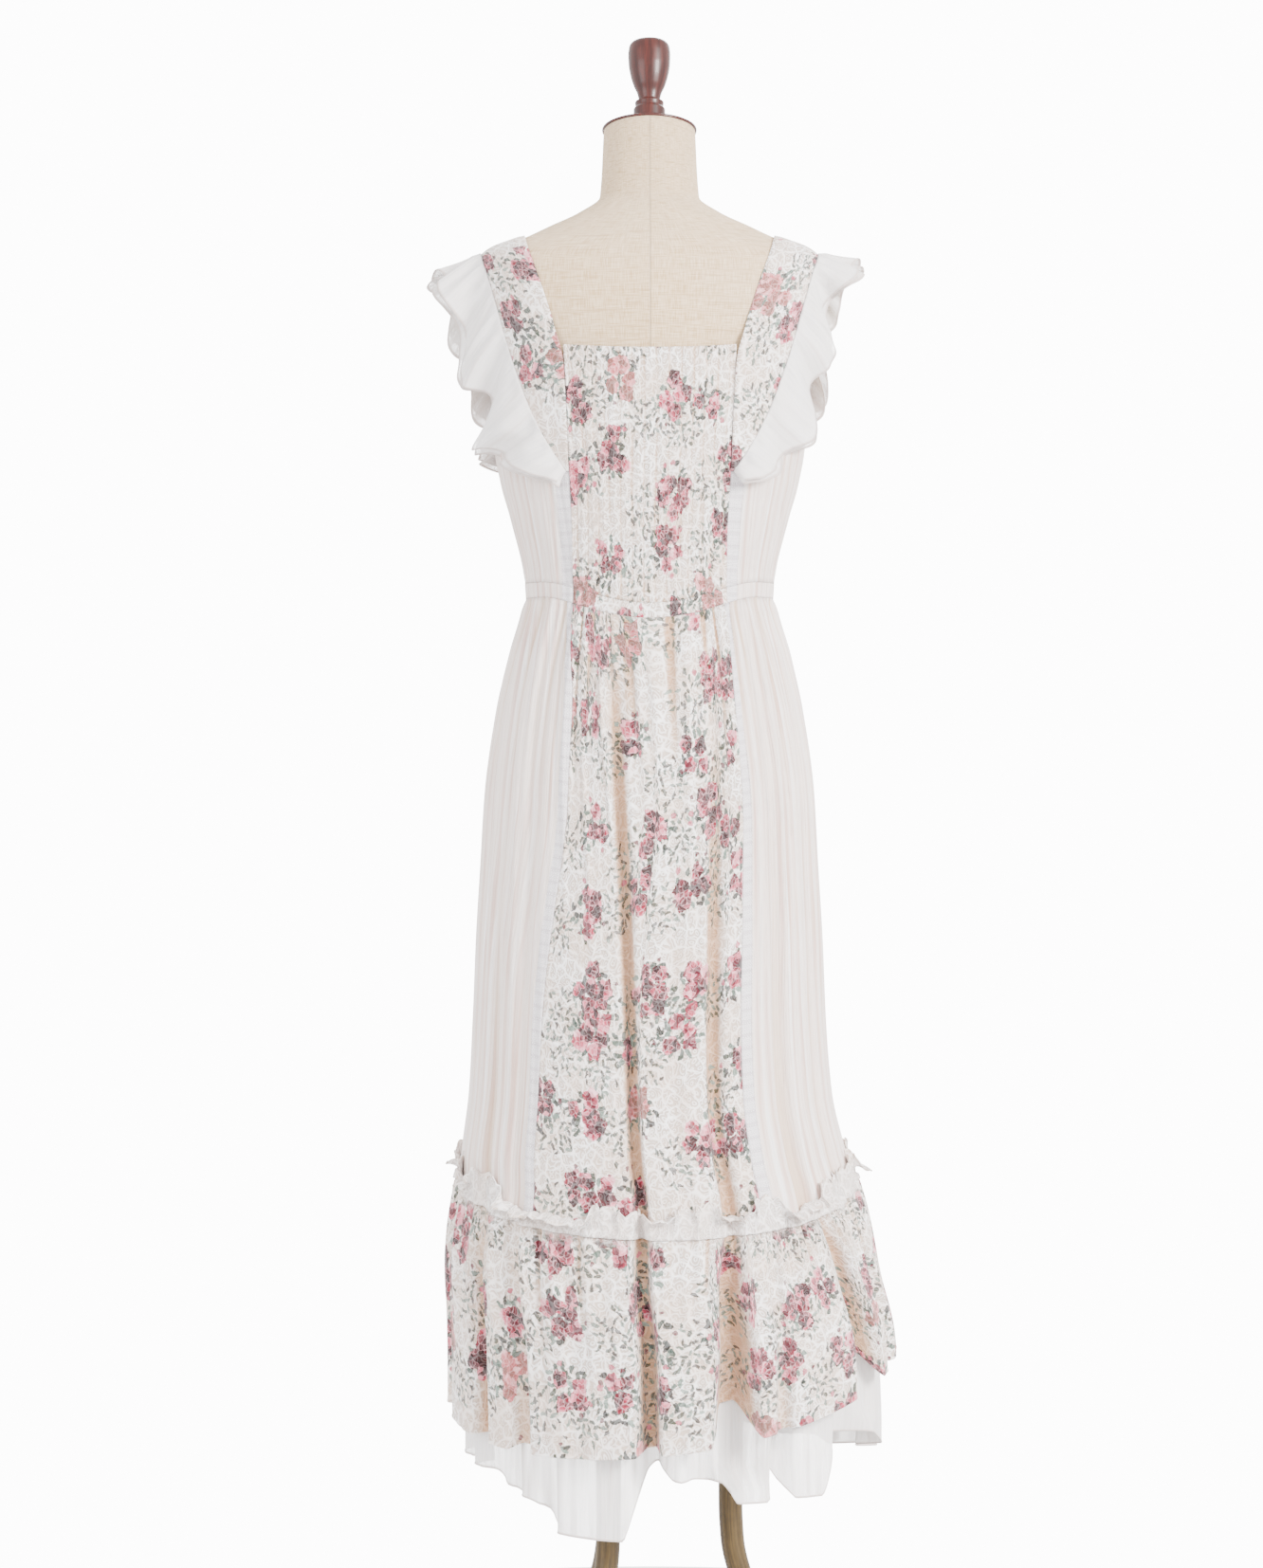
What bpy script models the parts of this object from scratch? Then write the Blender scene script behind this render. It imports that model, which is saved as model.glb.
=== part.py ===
"""A sleeveless long lace dress on a limbless dress form with a turned knob and a three-legged wooden stand.

Metres, +Z up, standing on the floor at z = 0. +X is to the right as the dress's back is seen,
+Y points out of the dress's front. The origin is the middle of the footprint's box, on the floor.
Angles round the body are degrees from the centre back, positive towards +X.
"""

import math

import bmesh
import bpy
import numpy as np
from mathutils import Matrix, Vector

# Driving dimensions
CLOTH = 0.0015            # wall of the lace and voile
CHIFFON = 0.0012          # wall of the frills and the underskirt
SEAM_GAP = 0.0007         # between pieces that are sewn together
LAYER_GAP = 0.0006        # between cloths that lie on each other

WAIST_Z = 1.0665          # seam under the waist casing, at the sides
WAIST_DROP = 0.022        # how much lower that seam is at the centre back
CASING_HEIGHT = 0.015
CASING_SWELL = 0.0003     # the casing's outer face stands this far off the dress's plain section
TIER_Z = 0.490            # seam between skirt and flounce, at the sides
TIER_DROP = 0.045
HEADING_HEIGHT = 0.027    # the gathered flounce stands this far above its seam
HEM_Z = 0.2925            # flounce's hem at the sides
HEM_DROP = 0.0525
HEM_TILT = 0.0275         # the hem is higher on the right than on the left
UNDER_HEM_Z = 0.153       # underskirt's hem where it is lowest
UNDER_TOP_BELOW_TIER = 0.012

SHIRR_RIBS = 14
SHIRR_HEIGHT = 0.0011
WAIST_GATHERS = 22
WAIST_GATHER_HEIGHT = 0.0022
BODICE_GATHER_HEIGHT = 0.0013
HEADING_WAVES = 36
HEADING_FLARE = 0.006
MOST_LEAN = 2.4           # the most that the heading's stand-off grows on a fold's slope
FLOUNCE_GATHERS = 36
FLOUNCE_GATHER_HEIGHT = 0.0022

NECKLINE_Z = 1.3135       # straight edge between the straps, centre back
FRONT_NECKLINE_Z = 1.300

STRAP_LIFT = 0.0024       # outer face of a strap above the bodice's level or the form
FRILL_FLUTES = 8
FRILL_FLUTE_HEIGHT = 0.0055
FRILL_LIFT = 0.0038       # an upper frill's root above the strap's outer face, to its own outer face
FRILL_OVERLAP = 0.0015    # how far a frill's root lies over the strap's edge
FRILL_LOBES = 0.13        # how much further a frill reaches at the crest of each flute
UNDER_FRILL_DROP = 0.0055
UNDER_FRILL_LONGER = 1.14

NECK_TILT = math.radians(12.3)
NECK_TOP_Z = 1.538
CAP_THICKNESS = 0.0035
CAP_RADIUS = 0.0478

FORM_BOTTOM_Z = 0.735
COLUMN_RADIUS = 0.014
HUB_Z = 0.352
FOOT_RING_RADIUS = 0.262
FOOT_PAD_HEIGHT = 0.006
FOOT_PAD_RADIUS = 0.017
LEG_SIDES = 10
LEG_DIRECTIONS = {"right": 90.0, "back": -30.0, "front": 210.0}

# The form's sections: height, middle's y, half-width, depth behind and before that middle
FORM_COLUMNS = ("z", "y", "half_width", "back", "front")
FORM_SECTIONS = (
    (0.735, 0.000, 0.148, 0.104, 0.092),
    (0.765, 0.000, 0.152, 0.110, 0.096),
    (0.840, 0.000, 0.153, 0.116, 0.100),
    (0.930, 0.000, 0.147, 0.108, 0.098),
    (1.000, 0.000, 0.131, 0.095, 0.092),
    (1.066, 0.000, 0.1185, 0.0880, 0.0880),
    (1.120, 0.000, 0.1280, 0.0905, 0.0980),
    (1.180, 0.000, 0.1440, 0.0960, 0.1190),
    (1.222, 0.000, 0.1505, 0.0975, 0.1250),
    (1.266, 0.000, 0.1530, 0.0978, 0.1180),
    (1.306, 0.000, 0.1590, 0.0970, 0.1050),
    (1.350, 0.000, 0.1680, 0.0950, 0.0880),
    (1.384, 0.002, 0.1705, 0.0890, 0.0740),
    (1.402, 0.004, 0.1700, 0.0850, 0.0670),
    (1.411, 0.006, 0.1630, 0.0820, 0.0630),
    (1.420, 0.008, 0.1460, 0.0790, 0.0600),
    (1.4290, 0.010, 0.1240, 0.0750, 0.0570),
    (1.4400, 0.012, 0.1005, 0.0690, 0.0530),
    (1.4520, 0.014, 0.0740, 0.0620, 0.0500),
    (1.4700, 0.018, 0.0500, 0.0520, 0.0485),
    (1.5380, 0.031, 0.0461, 0.0470, 0.0470),
)
FORM_ROUND = 28

# The dress's sections without folds: height, middle's x, half-width, depth behind and before
DRESS_COLUMNS = ("z", "x", "half_width", "back", "front")
DRESS_SECTIONS = (
    (0.100, 0.024, 0.2260, 0.212, 0.206),
    (0.240, 0.024, 0.2260, 0.212, 0.206),
    (0.327, 0.022, 0.2240, 0.208, 0.202),
    (0.403, 0.013, 0.2150, 0.196, 0.190),
    (0.441, 0.011, 0.2080, 0.187, 0.181),
    (0.479, 0.009, 0.1990, 0.177, 0.171),
    (0.517, 0.004, 0.1920, 0.169, 0.163),
    (0.574, 0.001, 0.1820, 0.160, 0.154),
    (0.650, 0.000, 0.1770, 0.152, 0.145),
    (0.726, 0.000, 0.1740, 0.146, 0.138),
    (0.802, 0.000, 0.1695, 0.140, 0.130),
    (0.878, 0.000, 0.1650, 0.134, 0.122),
    (0.954, 0.000, 0.1540, 0.124, 0.113),
    (1.011, 0.000, 0.1400, 0.110, 0.103),
    (1.049, 0.000, 0.1280, 0.098, 0.095),
    (1.068, 0.000, 0.1235, 0.0925, 0.092),
    (1.087, 0.000, 0.1250, 0.0930, 0.095),
    (1.144, 0.000, 0.1385, 0.0980, 0.115),
    (1.182, 0.000, 0.1490, 0.1010, 0.127),
    (1.220, 0.000, 0.1555, 0.1025, 0.133),
    (1.262, 0.000, 0.1570, 0.1030, 0.127),
    (1.300, 0.000, 0.1635, 0.1025, 0.1145),
    (1.340, 0.000, 0.1730, 0.1000, 0.099),
)

# Side edges of the centre panels, in degrees from the centre back or front, from waist (0) to tier (1)
SKIRT_EDGE_COLUMNS = ("share_down", "left", "right")
SKIRT_BACK_EDGES = (
    (0.00, -38.0, 36.0),
    (0.17, -29.5, 32.5),
    (0.33, -29.0, 33.0),
    (0.50, -33.0, 31.5),
    (0.67, -36.5, 30.0),
    (1.00, -38.0, 29.0),
)
CENTRE_HALF_WIDTHS = ((1.04, 0.0755), (1.12, 0.0760), (1.20, 0.0800), (1.32, 0.0855))

FOLD_FLOOR = 0.25         # share of a trough's half-width that is its level floor

# Skirt folds: where each trough starts at the waist and ends at the tier seam, in degrees,
# its half-width at both, and how deep it is at the waist, half way and at the tier seam
SKIRT_FOLD_COLUMNS = ("top", "end", "half_top", "half_end", "deep_top", "deep_mid", "deep_end")
SKIRT_FOLDS = (
    (-165.0, -163.0, 8.0, 6.0, 0.000, 0.007, 0.011),
    (-140.0, -142.0, 7.0, 6.0, 0.000, 0.006, 0.010),
    (-118.0, -121.0, 7.0, 6.5, 0.000, 0.005, 0.010),
    (-86.0, -84.0, 6.0, 5.0, 0.000, 0.004, 0.008),
    (-64.0, -60.0, 6.0, 4.5, 0.001, 0.004, 0.009),
    (-45.0, -44.0, 4.0, 4.0, 0.000, 0.003, 0.005),
    (-17.0, -5.5, 3.2, 3.0, 0.005, 0.013, 0.017),
    (9.0, 7.0, 4.0, 3.5, 0.000, 0.002, 0.003),
    (27.0, 20.0, 4.0, 3.6, 0.000, 0.009, 0.014),
    (46.0, 46.0, 5.0, 4.5, 0.001, 0.005, 0.010),
    (63.0, 66.0, 5.0, 5.0, 0.000, 0.004, 0.007),
    (93.0, 92.0, 7.0, 5.5, 0.000, 0.004, 0.009),
    (117.0, 119.0, 7.0, 6.0, 0.000, 0.006, 0.011),
    (141.0, 144.0, 7.0, 6.0, 0.000, 0.006, 0.010),
    (171.0, 170.0, 8.0, 6.0, 0.000, 0.008, 0.012),
)

# Flounce folds: trough's angle at the seam and at the hem, half-widths, depths and the hem's rise there
FLOUNCE_FOLD_COLUMNS = ("top", "end", "half_top", "half_end", "deep_top", "deep_end", "rise")
FLOUNCE_FOLDS = (
    (-163.0, -162.0, 5.0, 7.0, 0.011, 0.030, 0.006),
    (-142.0, -144.0, 4.5, 6.0, 0.010, 0.024, 0.004),
    (-121.0, -120.0, 5.0, 7.0, 0.010, 0.030, 0.006),
    (-100.0, -101.0, 4.0, 5.0, 0.002, 0.016, 0.002),
    (-84.0, -82.0, 4.5, 5.5, 0.008, 0.020, 0.003),
    (-60.0, -58.0, 4.0, 5.0, 0.009, 0.022, 0.004),
    (-44.0, -42.0, 3.5, 4.5, 0.005, 0.013, 0.007),
    (-26.0, -25.0, 3.5, 4.0, 0.000, 0.004, 0.000),
    (-5.5, -6.5, 2.8, 3.6, 0.017, 0.032, 0.006),
    (20.0, 15.5, 3.6, 7.0, 0.014, 0.040, 0.036),
    (31.0, 28.5, 2.5, 3.2, 0.002, 0.011, 0.001),
    (50.0, 60.0, 4.5, 8.0, 0.010, 0.032, 0.038),
    (69.0, 75.0, 4.0, 4.5, 0.007, 0.012, 0.000),
    (94.0, 95.0, 5.0, 5.5, 0.009, 0.018, 0.003),
    (119.0, 117.0, 5.0, 7.0, 0.011, 0.030, 0.006),
    (144.0, 142.0, 4.5, 6.0, 0.010, 0.026, 0.004),
    (170.0, 171.0, 5.0, 7.0, 0.012, 0.032, 0.006),
)

# Underskirt folds: the same columns
UNDER_FOLDS = (
    (-158.0, -158.0, 8.0, 9.0, 0.000, 0.030, 0.0),
    (-132.0, -132.0, 7.0, 8.0, 0.000, 0.026, 0.0),
    (-106.0, -106.0, 7.0, 8.0, 0.000, 0.028, 0.0),
    (-78.0, -78.0, 7.0, 8.0, 0.000, 0.026, 0.0),
    (-49.0, -49.0, 3.5, 4.5, 0.000, 0.012, 0.0),
    (-36.0, -36.0, 3.0, 3.6, 0.000, 0.014, 0.0),
    (-7.5, -7.5, 4.0, 5.5, 0.000, 0.052, 0.0),
    (8.0, 8.0, 5.5, 7.0, 0.000, 0.030, 0.0),
    (29.5, 29.5, 3.0, 4.0, 0.000, 0.026, 0.0),
    (58.0, 58.0, 8.0, 12.0, 0.000, 0.036, 0.0),
    (92.0, 92.0, 7.0, 8.0, 0.000, 0.026, 0.0),
    (118.0, 118.0, 7.0, 8.0, 0.000, 0.030, 0.0),
    (145.0, 145.0, 7.0, 8.0, 0.000, 0.026, 0.0),
    (174.0, 174.0, 7.0, 8.0, 0.000, 0.032, 0.0),
)
# Underskirt's uneven hem: angle, how far above its lowest
UNDER_HEM_RISE = (
    (-180.0, 0.060),
    (-150.0, 0.050),
    (-120.0, 0.060),
    (-95.0, 0.058),
    (-60.0, 0.055),
    (-50.0, 0.040),
    (-39.0, 0.030),
    (-33.0, 0.004),
    (-14.0, 0.000),
    (-9.0, 0.064),
    (-5.0, 0.072),
    (0.0, 0.058),
    (13.0, 0.055),
    (17.0, 0.036),
    (25.0, 0.036),
    (29.5, 0.064),
    (34.0, 0.038),
    (43.0, 0.037),
    (49.0, 0.085),
    (66.0, 0.090),
    (82.0, 0.072),
    (100.0, 0.060),
    (130.0, 0.055),
    (160.0, 0.062),
    (180.0, 0.060),
)
UNDER_INSET = 0.017       # underskirt's crests inside the flounce's
UNDER_CLEAR = 0.0026      # how much looser the underskirt hangs in the flounce at its hem

# Top edge of the bodice's side panels: degrees from the centre back or front, height
ARMHOLE_EDGE = ((43.0, 1.222), (52.0, 1.262), (60.0, 1.297), (68.0, 1.290), (90.0, 1.268))
BODICE_ROWS = 3           # rows of a side panel; the centre panels have twice as many

# A strap's edges: height on the back and front, and how far from the middle its inner and outer edges are
STRAP_SIDE = (
    (1.189, 0.0806, 0.0826),
    (1.222, 0.0822, 0.1045),
    (1.262, 0.0845, 0.1235),
    (1.3135, 0.0885, 0.1400),
    (1.350, 0.0990, 0.1500),
    (1.385, 0.1100, 0.1600),
    (1.412, 0.1200, 0.1690),
)
STRAP_TOP = (0.1240, 0.1705)
SHOULDER_LINE_Y = 0.006   # where the strap crosses the shoulder
STRAP_TOP_LIFT = 0.0010   # more lift over the shoulder
STRAP_TOP_RISE = 0.004    # the strap's outer edge stands up this much there
STRAP_STEPS = 32
# How far a frill stands out from the strap's outer edge, sideways and down, at the strap's rows and over its
# top. The right one hangs closer to the dress.
FRILL_REACH = {
    "left": (
        (0.001, 0.012), (0.030, 0.017), (0.034, 0.044), (0.030, 0.052), (0.030, 0.049), (0.034, 0.040),
        (0.040, 0.027), (0.041, 0.021),
    ),
    "right": (
        (0.001, 0.012), (0.020, 0.020), (0.021, 0.036), (0.018, 0.040), (0.018, 0.034), (0.023, 0.026),
        (0.035, 0.015), (0.038, 0.010),
    ),
}

# The leg's centreline from the hub: distance from the column, height, radius
LEG_PATH = (
    (0.0212, 0.3520, 0.0115),
    (0.0380, 0.3520, 0.0120),
    (0.0560, 0.3510, 0.0125),
    (0.0700, 0.3455, 0.0130),
    (0.0785, 0.3330, 0.0130),
    (0.0812, 0.3160, 0.0128),
    (0.0812, 0.2400, 0.0124),
    (0.0812, 0.1600, 0.0120),
    (0.0830, 0.1250, 0.0118),
    (0.0900, 0.0930, 0.0115),
    (0.1050, 0.0660, 0.0110),
    (0.1300, 0.0440, 0.0105),
    (0.1640, 0.0285, 0.0098),
    (0.2060, 0.0190, 0.0092),
    (0.2440, 0.0156, 0.0089),
    (0.2720, 0.01485, 0.0088),
)

# The turned knob and hub: radius, height along their own axes
KNOB_PROFILE = (
    (0.0215, 0.0000), (0.0215, 0.0030), (0.0175, 0.0060), (0.0160, 0.0120), (0.0160, 0.0200),
    (0.0142, 0.0230), (0.0146, 0.0275), (0.0108, 0.0300), (0.0122, 0.0370), (0.0160, 0.0460),
    (0.0192, 0.0570), (0.0210, 0.0680), (0.0214, 0.0790), (0.0205, 0.0870), (0.0165, 0.0915),
    (0.0060, 0.0925),
)
HUB_PROFILE = (
    (0.0110, -0.0560), (0.0160, -0.0500), (0.0150, -0.0420), (0.0190, -0.0320), (0.0205, -0.0180),
    (0.0205, 0.0180), (0.0185, 0.0300), (0.0210, 0.0360), (0.0190, 0.0440), (0.0170, 0.0520),
)

COLOURS = {
    "floral_lace": ((0.86, 0.80, 0.78), 0.85, 0.0),
    "striped_voile": ((0.88, 0.84, 0.81), 0.80, 0.0),
    "chiffon": ((0.93, 0.92, 0.93), 0.70, 0.0),
    "linen": ((0.80, 0.73, 0.64), 0.90, 0.0),
    "dark_wood": ((0.16, 0.065, 0.045), 0.35, 0.0),
    "stand_wood": ((0.20, 0.15, 0.085), 0.40, 0.0),
}


def column(table, columns, name):
    """One named column of a table as an array."""
    return np.array([row[columns.index(name)] for row in table], float)


def curve_through(x, knots, values):
    """A smooth curve through the knots, without overshoot at steps."""
    knots, values = np.asarray(knots, float), np.asarray(values, float)
    x = np.clip(np.asarray(x, float), knots[0], knots[-1])
    step = np.diff(knots)
    slope = np.diff(values) / step
    tangent = np.empty_like(values)
    tangent[0], tangent[-1] = slope[0], slope[-1]
    same_way = slope[:-1] * slope[1:] > 0
    both = np.where(same_way, 2 * slope[:-1] * slope[1:] / np.where(same_way, slope[:-1] + slope[1:], 1), 0)
    tangent[1:-1] = both
    i = np.clip(np.searchsorted(knots, x, side="right") - 1, 0, len(step) - 1)
    t = (x - knots[i]) / step[i]
    return (
        (1 + 2 * t) * (1 - t) ** 2 * values[i]
        + t * (1 - t) ** 2 * step[i] * tangent[i]
        + t * t * (3 - 2 * t) * values[i + 1]
        + t * t * (t - 1) * step[i] * tangent[i + 1]
    )


def dress_section(z):
    heights = column(DRESS_SECTIONS, DRESS_COLUMNS, "z")
    return [curve_through(z, heights, column(DRESS_SECTIONS, DRESS_COLUMNS, n)) for n in DRESS_COLUMNS[1:]]


def form_section(z):
    heights = column(FORM_SECTIONS, FORM_COLUMNS, "z")
    return [curve_through(z, heights, column(FORM_SECTIONS, FORM_COLUMNS, n)) for n in FORM_COLUMNS[1:]]


def off_section(angle, z, off):
    """The point that lies off the dress's plain section by that much, at an angle and a height."""
    middle, half, back, front = dress_section(z)
    a = np.radians(angle)
    depth = np.where(np.cos(a) > 0, back, front)
    nx, ny = np.sin(a) / half, -np.cos(a) / depth
    length = np.hypot(nx, ny)
    x = middle + half * np.sin(a) + nx / length * off
    y = -depth * np.cos(a) + ny / length * off
    return np.stack(np.broadcast_arrays(x, y, z), axis=-1)


def turned(angle):
    """An angle brought to between -180 and 180 degrees."""
    return (np.asarray(angle, float) + 180.0) % 360.0 - 180.0


def waist_z(angle):
    a = turned(angle)
    return WAIST_Z - WAIST_DROP * np.where(np.abs(a) < 60, np.cos(np.radians(1.5 * a)) ** 2, 0)


def tier_z(angle):
    return TIER_Z - TIER_DROP * np.maximum(np.cos(np.radians(angle)), 0)


def folds_of(table, columns, angle, share_down):
    """How far a fold table turns the cloth's own angle, how deep the cloth lies there and its hem's rise."""
    ends, tops = column(table, columns, "end"), column(table, columns, "top")
    knots = np.concatenate([ends - 360, ends, ends + 360])
    turns = np.tile(tops - ends, 3)
    settled = 1 - (1 - share_down) ** 2
    turn = np.interp(angle, knots, turns) * (1 - settled)
    depth, rise = np.zeros(np.shape(angle)), np.zeros(np.shape(angle))
    for row in table:
        r = dict(zip(columns, row))
        half = r["half_top"] + (r["half_end"] - r["half_top"]) * share_down
        t = np.clip((np.abs(turned(angle - r["end"])) / half - FOLD_FLOOR) / (1 - FOLD_FLOOR), 0, 1)
        bump = np.cos(np.pi / 2 * t) ** 2
        middle = r.get("deep_mid", (r["deep_top"] + r["deep_end"]) / 2)
        deep = curve_through(share_down, (0.0, 0.45, 1.0), (r["deep_top"], middle, r["deep_end"]))
        depth = depth + deep * bump
        rise = rise + r.get("rise", 0.0) * bump
    return turn, depth, rise


def skirt_point(angle, share_down, off=0.0):
    """The skirt's outer face. The angle is the cloth's own, at the tier seam."""
    turn, depth, _ = folds_of(SKIRT_FOLDS, SKIRT_FOLD_COLUMNS, angle, share_down)
    at = angle + turn
    z = waist_z(at) + (tier_z(at) - waist_z(at)) * share_down
    fade = np.clip(1 - share_down / 0.42, 0, 1) ** 1.5
    gather = WAIST_GATHER_HEIGHT * fade * np.cos(np.radians(WAIST_GATHERS * at))
    return off_section(at, z, gather - depth + off)


def flounce_share_z(angle, share_down):
    turn, depth, rise = folds_of(FLOUNCE_FOLDS, FLOUNCE_FOLD_COLUMNS, angle, share_down)
    at = angle + turn
    a = np.radians(at)
    hem = HEM_Z + HEM_TILT * np.sin(a) - HEM_DROP * np.maximum(np.cos(a), 0) + rise
    return at, depth, tier_z(at) + (hem - tier_z(at)) * share_down


def flounce_point(angle, share_down, off=0.0):
    at, depth, z = flounce_share_z(angle, share_down)
    fade = np.clip(1 - share_down / 0.7, 0, 1)
    gather = FLOUNCE_GATHER_HEIGHT * fade * np.cos(np.radians(FLOUNCE_GATHERS * at))
    return off_section(at, z, gather - depth + off)


def place_of(points):
    """(angle, off) of points: where they are round the dress's plain section and how far off it."""
    middle, half, back, front = dress_section(points[..., 2])
    depth = np.where(points[..., 1] < 0, back, front)
    a = np.arctan2((points[..., 0] - middle) / half, -points[..., 1] / depth)
    for _ in range(4):
        depth = np.where(np.cos(a) > 0, back, front)
        sx, sy = middle + half * np.sin(a), -depth * np.cos(a)
        tx, ty = half * np.cos(a), depth * np.sin(a)
        speed = np.hypot(tx, ty)
        off = ((points[..., 0] - sx) * ty - (points[..., 1] - sy) * tx) / speed
        along = ((points[..., 0] - sx) * tx + (points[..., 1] - sy) * ty) / speed
        a = a + along / (speed + off)
    return np.degrees(a), off


def refined(grid, row_steps, column_steps):
    """A grid of points with more rows and columns between its own."""
    for axis, times in ((0, row_steps), (1, column_steps)):
        count = grid.shape[axis]
        fine = np.linspace(0, count - 1, (count - 1) * times + 1)
        low = np.minimum(fine.astype(int), count - 2)
        share = (fine - low).reshape((-1, 1, 1) if axis == 0 else (1, -1, 1))
        grid = np.take(grid, low, axis) * (1 - share) + np.take(grid, low + 1, axis) * share
    return grid


class Reach:
    """How far in (sign -1) or out (sign 1) some walls reach, at each angle and height."""

    low, step, count = 0.10, 0.004, 140

    def __init__(self, grids, sign, spread=3, below=0, fineness=1):
        self.fineness = fineness
        table = np.full((360 * fineness, self.count), -1.0)
        for grid in grids:
            fine = refined(grid, 40, 10 * fineness).reshape(-1, 3)
            angle, off = place_of(fine)
            i = np.round(angle * fineness).astype(int) % len(table)
            j = np.clip(np.round((fine[:, 2] - self.low) / self.step).astype(int), 0, self.count - 1)
            np.maximum.at(table, (i, j), sign * off)
        for axis, least, most in ((0, -spread, spread), (1, -1 - below, 1)):
            table = np.max([self.moved(table, s, axis) for s in range(least, most + 1)], axis=0)
        empty = table < -0.5
        table[empty] = -0.2
        shifts = range(-spread, spread + 1)
        self.table = np.mean([self.moved(table, s, 0) for s in shifts], axis=0)

    @staticmethod
    def moved(table, by, axis):
        if axis == 0:
            return np.roll(table, by, axis=0)
        out = np.full_like(table, -1.0)
        if by > 0:
            out[:, by:] = table[:, :-by]
        elif by < 0:
            out[:, :by] = table[:, -by:]
        else:
            out[:] = table
        return out

    def at(self, angle, z):
        angle, z = np.broadcast_arrays(np.asarray(angle, float), np.asarray(z, float))
        row = np.clip((z - self.low) / self.step, 0, self.count - 1.001)
        place = angle * self.fineness
        i, j = np.floor(place).astype(int), row.astype(int)
        s, t = place - i, row - j
        near, far = i % len(self.table), (i + 1) % len(self.table)
        return (
            self.table[near, j] * (1 - s) * (1 - t)
            + self.table[far, j] * s * (1 - t)
            + self.table[near, j + 1] * (1 - s) * t
            + self.table[far, j + 1] * s * t
        )


def under_point(angle, share_down, flounce, off=0.0):
    """The underskirt hangs inside the flounce's folds, from just under the tier seam."""
    _, depth, _ = folds_of(UNDER_FOLDS, FLOUNCE_FOLD_COLUMNS, angle, share_down)
    rise = curve_through(turned(angle), *zip(*UNDER_HEM_RISE))
    top = tier_z(angle) - UNDER_TOP_BELOW_TIER
    z = top + (UNDER_HEM_Z + rise - top) * share_down
    own = depth + UNDER_INSET * np.clip(share_down * 2.5, 0, 1)
    held = flounce.at(angle, z) + LAYER_GAP + UNDER_CLEAR * share_down
    return off_section(angle, z, off - np.maximum(own, held))


def normals_of(point, u, v, du, dv):
    """Unit normals of a surface point(u, v), pointing away from the body."""
    along_u = point(u + du, v) - point(u - du, v)
    along_v = point(u, v + dv) - point(u, v - dv)
    normal = np.cross(along_v, along_u)
    return normal / np.maximum(np.linalg.norm(normal, axis=-1, keepdims=True), 1e-12)


def material(name):
    """A plain material with the part's colour, roughness and metallic value."""
    found = bpy.data.materials.get(name)
    if found:
        return found
    colour, roughness, metallic = COLOURS[name]
    made = bpy.data.materials.new(name)
    made.use_nodes = True
    shader = made.node_tree.nodes["Principled BSDF"]
    shader.inputs["Base Color"].default_value = (*colour, 1.0)
    shader.inputs["Roughness"].default_value = roughness
    shader.inputs["Metallic"].default_value = metallic
    return made


def add_object(name, mesh, finish):
    obj = bpy.data.objects.new(name, mesh)
    obj.data.materials.append(material(finish))
    bpy.context.scene.collection.objects.link(obj)
    return obj


def closed_mesh(name, points, faces, finish):
    """An object from points and faces, turned so that its faces point out."""
    mesh = bpy.data.meshes.new(name)
    mesh.from_pydata([tuple(p) for p in points], [], faces)
    shape = bmesh.new()
    shape.from_mesh(mesh)
    bmesh.ops.recalc_face_normals(shape, faces=shape.faces)
    if shape.calc_volume(signed=True) < 0:
        bmesh.ops.reverse_faces(shape, faces=shape.faces)
    shape.to_mesh(mesh)
    shape.free()
    mesh.shade_smooth()
    return add_object(name, mesh, finish)


def wall(name, outer, inner, finish, all_round=False):
    """A closed cloth wall between two grids of points, rows by columns. Both sides are split the same way."""
    rows, columns = outer.shape[:2]
    points = np.concatenate([outer.reshape(-1, 3), inner.reshape(-1, 3)])
    shift = rows * columns
    faces = []

    def quad(a, b, c, d, back=False):
        length_ac = np.linalg.norm(points[a % shift] - points[c % shift])
        length_bd = np.linalg.norm(points[b % shift] - points[d % shift])
        pair = ((a, b, c), (a, c, d)) if length_ac <= length_bd else ((a, b, d), (b, c, d))
        faces.extend(tuple(shift + i for i in reversed(t)) if back else t for t in pair)

    last = columns if all_round else columns - 1
    for r in range(rows - 1):
        for c in range(last):
            d = (c + 1) % columns
            spots = (r * columns + c, r * columns + d, (r + 1) * columns + d, (r + 1) * columns + c)
            quad(*spots)
            quad(*spots, back=True)
    for c in range(last):
        d = (c + 1) % columns
        foot = (rows - 1) * columns
        faces.extend([(d, c, shift + c), (d, shift + c, shift + d)])
        faces.extend([(foot + c, foot + d, shift + foot + d), (foot + c, shift + foot + d, shift + foot + c)])
    if not all_round:
        end = columns - 1
        for r in range(rows - 1):
            a, b = r * columns, (r + 1) * columns
            faces.extend([(a, b, shift + b), (a, shift + b, shift + a)])
            faces.extend([(b + end, a + end, shift + a + end), (b + end, shift + a + end, shift + b + end)])
    return closed_mesh(name, points, faces, finish)


def cloth_grids(point, own_angles, shares, thickness):
    """Outer and inner points of a surface given by the cloth's angle and its share down."""
    outer = point(own_angles, shares)
    away = outer - point(own_angles, shares, off=-0.001)
    away /= np.linalg.norm(away, axis=-1, keepdims=True)
    normal = normals_of(point, own_angles, shares, 0.2, 0.01)
    facing = np.abs(np.sum(away * normal, axis=-1, keepdims=True))
    return outer, outer - away * thickness / np.maximum(facing, 0.5)


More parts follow.
